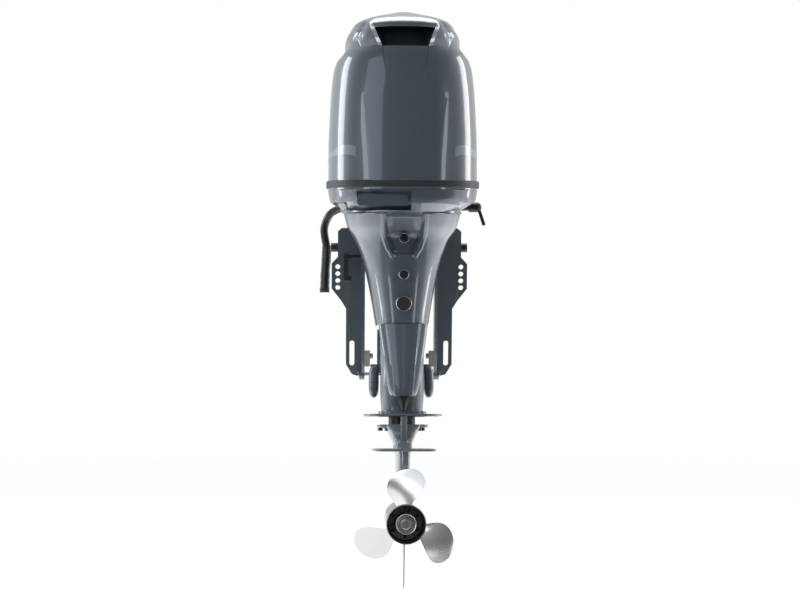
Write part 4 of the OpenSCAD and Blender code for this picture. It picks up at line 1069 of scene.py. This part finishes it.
def cable_mesh(route):
    """Jacketed bundle that becomes a ribbed sleeve where it hangs."""
    radius = sizes().cable_diameter / MM / 2
    rows, travelled = [], 0.0
    for k, (point, share) in enumerate(route):
        ahead = route[min(k + 1, len(route) - 1)][0] - route[max(k - 1, 0)][0]
        along = ahead.normalized()
        across = along.cross(Vector((0.2, 0.97, 0.1))).normalized()
        up = along.cross(across)
        travelled += (point - route[max(k - 1, 0)][0]).length
        swell = 2.0 * ease((share - SLEEVE_FROM + 0.4) * 4)
        rib = 0.35 * math.cos(travelled * 1.9) * ease((share - SLEEVE_FROM) * 4)
        twist = travelled / 60
        row = []
        for step in range(24):
            a = FULL_TURN * step / 24
            lobes = 0.55 * (1 - ease((share - SLEEVE_FROM + 0.4) * 4)) * math.cos(
                3 * (a + twist))
            r = radius - 0.5 + swell + rib + lobes
            row.append(point + (across * math.cos(a) + up * math.sin(a)) * r)
        rows.append(row + [row[0]])
    return skin(rows, "low high")


# ---------------------------------------------------------------- operators


class OUTBOARD_OT_studio(bpy.types.Operator):
    """Camera, floor, soft lights and surroundings"""

    bl_idname = "outboard.studio"
    bl_label = "Studio"

    def execute(self, context):
        pitch, yaw = math.radians(PITCH), math.radians(YAW)
        aim = Vector((math.sin(yaw) * math.cos(pitch), math.cos(yaw) * math.cos(pitch),
                      math.sin(pitch)))
        lens = bpy.data.cameras.new("camera")
        lens.sensor_width, lens.lens = 36.0, LENS
        camera = bpy.data.objects.new("camera", lens)
        camera.location = CAMERA_PLACE
        camera.rotation_mode = "QUATERNION"
        camera.rotation_quaternion = aim.to_track_quat("-Z", "Y")
        context.scene.collection.objects.link(camera)
        context.scene.camera = camera

        bm = bmesh.new()
        bmesh.ops.create_circle(bm, cap_ends=True, segments=96, radius=FLOOR_RADIUS)
        bmesh.ops.translate(bm, vec=FLOOR_PLACE, verts=bm.verts)
        mesh = bpy.data.meshes.new("floor")
        bm.to_mesh(mesh)
        bm.free()
        floor = bpy.data.objects.new("floor", mesh)
        context.scene.collection.objects.link(floor)
        paint, tree, skin_node = shader("studio_floor", (0.93, 0.93, 0.93), 0.85)
        cloud = use_effect(tree, "cast_grain", Scale=12.0)["Mask"]
        tree.links.new(colour_mix(tree, cloud, (0.92, 0.92, 0.92), (0.94, 0.94, 0.94)),
                       skin_node.inputs["Base Color"])
        skin_node.inputs["Emission Color"].default_value = (1, 1, 1, 1)
        skin_node.inputs["Emission Strength"].default_value = 0.55
        floor.data.materials.append(paint)

        for name, spot, size, power, tint in (
                ("light_port", (-2.5, 1.1, 0.8), (1.0, 2.4), 34, (0.93, 0.97, 1.0)),
                ("light_starboard", (2.5, 1.1, 0.8), (1.0, 2.4), 30, (1.0, 0.99, 0.97)),
                ("light_wedge_port", (-2.7, -2.3, 0.2), (0.7, 2.2), 16, (0.93, 0.97, 1.0)),
                ("light_wedge_starboard", (2.7, -2.4, 0.2), (0.6, 2.2), 13, (1, 1, 1)),
                ("light_top", (0.0, 0.5, 2.7), (2.4, 1.6), 60, (1, 1, 1)),
                ("light_stern", (-1.9, -3.6, 1.2), (2.4, 2.8), 26, (0.78, 0.90, 1.0))):
            lamp = bpy.data.lights.new(name, "AREA")
            lamp.shape, lamp.size, lamp.size_y = "RECTANGLE", size[0], size[1]
            lamp.energy, lamp.color = power, tint
            light = bpy.data.objects.new(name, lamp)
            light.location = spot
            light.rotation_mode = "QUATERNION"
            light.rotation_quaternion = (Vector(LAMP_AIM) - Vector(spot)).to_track_quat(
                "-Z", "Y")
            context.scene.collection.objects.link(light)

        world = bpy.data.worlds.new("surroundings")
        world.use_nodes = True
        tree = world.node_tree
        tree.nodes.clear()
        out = add_node(tree, "ShaderNodeOutputWorld")
        coords = add_node(tree, "ShaderNodeTexCoord")
        split = add_node(tree, "ShaderNodeSeparateXYZ", {"Vector": coords.outputs["Generated"]})
        ramps = []
        # from, to, weakest and strongest: towards the boat, then from the ground up
        for axis, limits in ((1, (-0.85, 0.30, 0.17, 0.62)), (2, (-0.7, 0.15, 0.3, 1.0))):
            ramp = add_node(tree, "ShaderNodeMapRange", {"Value": split.outputs[axis]},
                            interpolation_type="SMOOTHSTEP")
            for slot, value in zip(ramp.inputs[1:5], limits):
                slot.default_value = value
            ramps.append(ramp.outputs[0])
        strength = number(tree, "MULTIPLY", *ramps)
        soft = add_node(tree, "ShaderNodeBackground", {"Strength": strength},
                        Color=(0.97, 0.985, 1.0, 1))
        white = add_node(tree, "ShaderNodeBackground", Color=(1, 1, 1, 1), Strength=1.0)
        rays = add_node(tree, "ShaderNodeLightPath")
        either = add_node(tree, "ShaderNodeMixShader", {0: rays.outputs["Is Camera Ray"],
                                                        1: soft.outputs[0],
                                                        2: white.outputs[0]})
        tree.links.new(either.outputs[0], out.inputs[0])
        context.scene.world = world
        context.scene.view_settings.view_transform = "Standard"
        return {"FINISHED"}


class OUTBOARD_OT_cables(bpy.types.Operator):
    """Cable bundle with its hanging sleeve"""

    bl_idname = "outboard.cables"
    bl_label = "Cables"

    def execute(self, context):
        route = smooth_route(CABLE_ROUTE)
        bundle = place("cable_bundle_skin", cable_mesh(route), MATERIALS["jacket"], "engine",
                       "cable_bundle", ["cable_bundle"], soften=0)
        end = turned([(8.5, 0), (13.0, 0), (13.3, 1), (13.3, 10), (12.4, 11.5), (8.5, 11.5),
                      (8.5, 0)], 32, "Z", (-199, 97, -62))
        ferrule = place("cable_sleeve_end", end, MATERIALS["rubber"], "engine",
                        "cable_bundle", soften=0)
        return {"FINISHED"}


class OUTBOARD_OT_top_cowl(bpy.types.Operator):
    """Top cowl, its side stripes and the rubber band"""

    bl_idname = "outboard.top_cowl"
    bl_label = "Top cowl"

    def execute(self, context):
        # The top cowl's second finish is painted shade inside the intake mouth.
        place("top_cowl_shell", top_cowl_mesh(), (MATERIALS["cowl"], MATERIALS["mouth"]), "cowl",
              "top_cowl", ["top_cowl"], wall=3.5, sharp=24)
        place("rubber_band_skin", band_mesh(), MATERIALS["band"], "cowl", "rubber_band",
              ["rubber_band"], soften=0.5)
        for name, side in (("port", -1), ("starboard", 1)):
            place("stripe_" + name, stripe_mesh(side), MATERIALS["stripe"], "cowl", "top_cowl",
                  soften=0)
        return {"FINISHED"}


class OUTBOARD_OT_bottom_cowl(bpy.types.Operator):
    """Bottom cowl, apron, the cover below it and the rims of its fittings"""

    bl_idname = "outboard.bottom_cowl"
    bl_label = "Bottom cowl and apron"

    def execute(self, context):
        place("bottom_cowl_shell", bottom_cowl_mesh(), MATERIALS["cowl"], "engine",
              "bottom_cowl", ["bottom_cowl"], wall=3.5, sharp=24)
        place("apron_shell", apron_mesh(), MATERIALS["cowl"], "engine", "apron", ["apron"],
              wall=3.2, sharp=28)
        place("lower_rear_cover_shell", rear_cover_mesh(),
              (MATERIALS["cowl"], MATERIALS["plastic_and_painted_shade"]), "engine", "lower_rear_cover",
              ["lower_rear_cover"], soften=0.6, sharp=28)
        place("apron_trim_rings", trim_ring_mesh(), MATERIALS["machined"], "engine", "apron",
              soften=0)
        return {"FINISHED"}


class OUTBOARD_OT_leg(bpy.types.Operator):
    """Midsection, gear housing and the pods over the lower mounts"""

    bl_idname = "outboard.leg"
    bl_label = "Leg and gear housing"

    def execute(self, context):
        place("midsection_casting", leg_mesh(), MATERIALS["lower"], "engine", "midsection",
              ["midsection"], soften=0)
        place("gear_housing_casting", gear_housing_mesh(), MATERIALS["lower"], "engine",
              "gearcase", ["gearcase"], soften=0)
        place("lower_mount_pods", pod_mesh(), MATERIALS["bracket"], "engine",
              "lower_mount_covers", ["lower_mount_covers"], soften=0)
        return {"FINISHED"}


class OUTBOARD_OT_propeller(bpy.types.Operator):
    """Polished propeller and its castellated nut"""

    bl_idname = "outboard.propeller"
    bl_label = "Propeller"

    def execute(self, context):
        # The second finish is painted shade inside the hub and on its spokes.
        place("propeller_wheel", propeller_mesh(), (MATERIALS["steel"], MATERIALS["plastic_and_painted_shade"]),
              "prop", "propeller", ["propeller"], soften=0.4, sharp=40)
        place("propeller_castle_nut", propeller_nut_mesh(), MATERIALS["machined"], "prop",
              "propeller_nut", ["propeller_nut"], soften=0, sharp=30)
        return {"FINISHED"}


class OUTBOARD_OT_cad_finishes(bpy.types.Operator):
    """Finishes and softened edges on the CAD pieces that stay as they are"""

    bl_idname = "outboard.cad_finishes"
    bl_label = "Finishes on CAD pieces"

    def execute(self, context):
        smooth = shading_group()
        for finish, (width, names) in CAD_FINISHES.items():
            for name in names.split():
                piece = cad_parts[name]
                piece.data.materials.clear()
                piece.data.materials.append(MATERIALS[finish])
                piece.modifiers.new("join_and_smooth", "NODES").node_group = smooth
                round_edges(piece, width * MM)
        return {"FINISHED"}


class OUTBOARD_PT_panel(bpy.types.Panel):
    """The motor's pieces, sizes and colours"""

    bl_label = "Outboard motor"
    bl_idname = "OUTBOARD_PT_panel"
    bl_space_type = "VIEW_3D"
    bl_region_type = "UI"
    bl_category = "Outboard"

    def draw(self, context):
        for group in (context.scene.outboard_sizes, context.scene.outboard_colours):
            box = self.layout.box()
            for name in group.__annotations__:
                box.prop(group, name)
        for operator in OPERATORS:
            self.layout.operator(operator.bl_idname)


OPERATORS = (OUTBOARD_OT_studio, OUTBOARD_OT_cables, OUTBOARD_OT_top_cowl,
             OUTBOARD_OT_bottom_cowl, OUTBOARD_OT_leg, OUTBOARD_OT_propeller,
             OUTBOARD_OT_cad_finishes)
CLASSES = (OutboardSizes, OutboardColours, *OPERATORS, OUTBOARD_PT_panel)


def register():
    for cls in CLASSES:
        bpy.utils.register_class(cls)
    bpy.types.Scene.outboard_sizes = PointerProperty(type=OutboardSizes)
    bpy.types.Scene.outboard_colours = PointerProperty(type=OutboardColours)


def unregister():
    del bpy.types.Scene.outboard_colours
    del bpy.types.Scene.outboard_sizes
    for cls in reversed(CLASSES):
        bpy.utils.unregister_class(cls)


def main():
    register()
    MATERIALS.update(make_materials())
    for operator in OPERATORS:
        getattr(bpy.ops.outboard, operator.bl_idname.split(".")[1])()


if __name__ == "__main__":
    main()
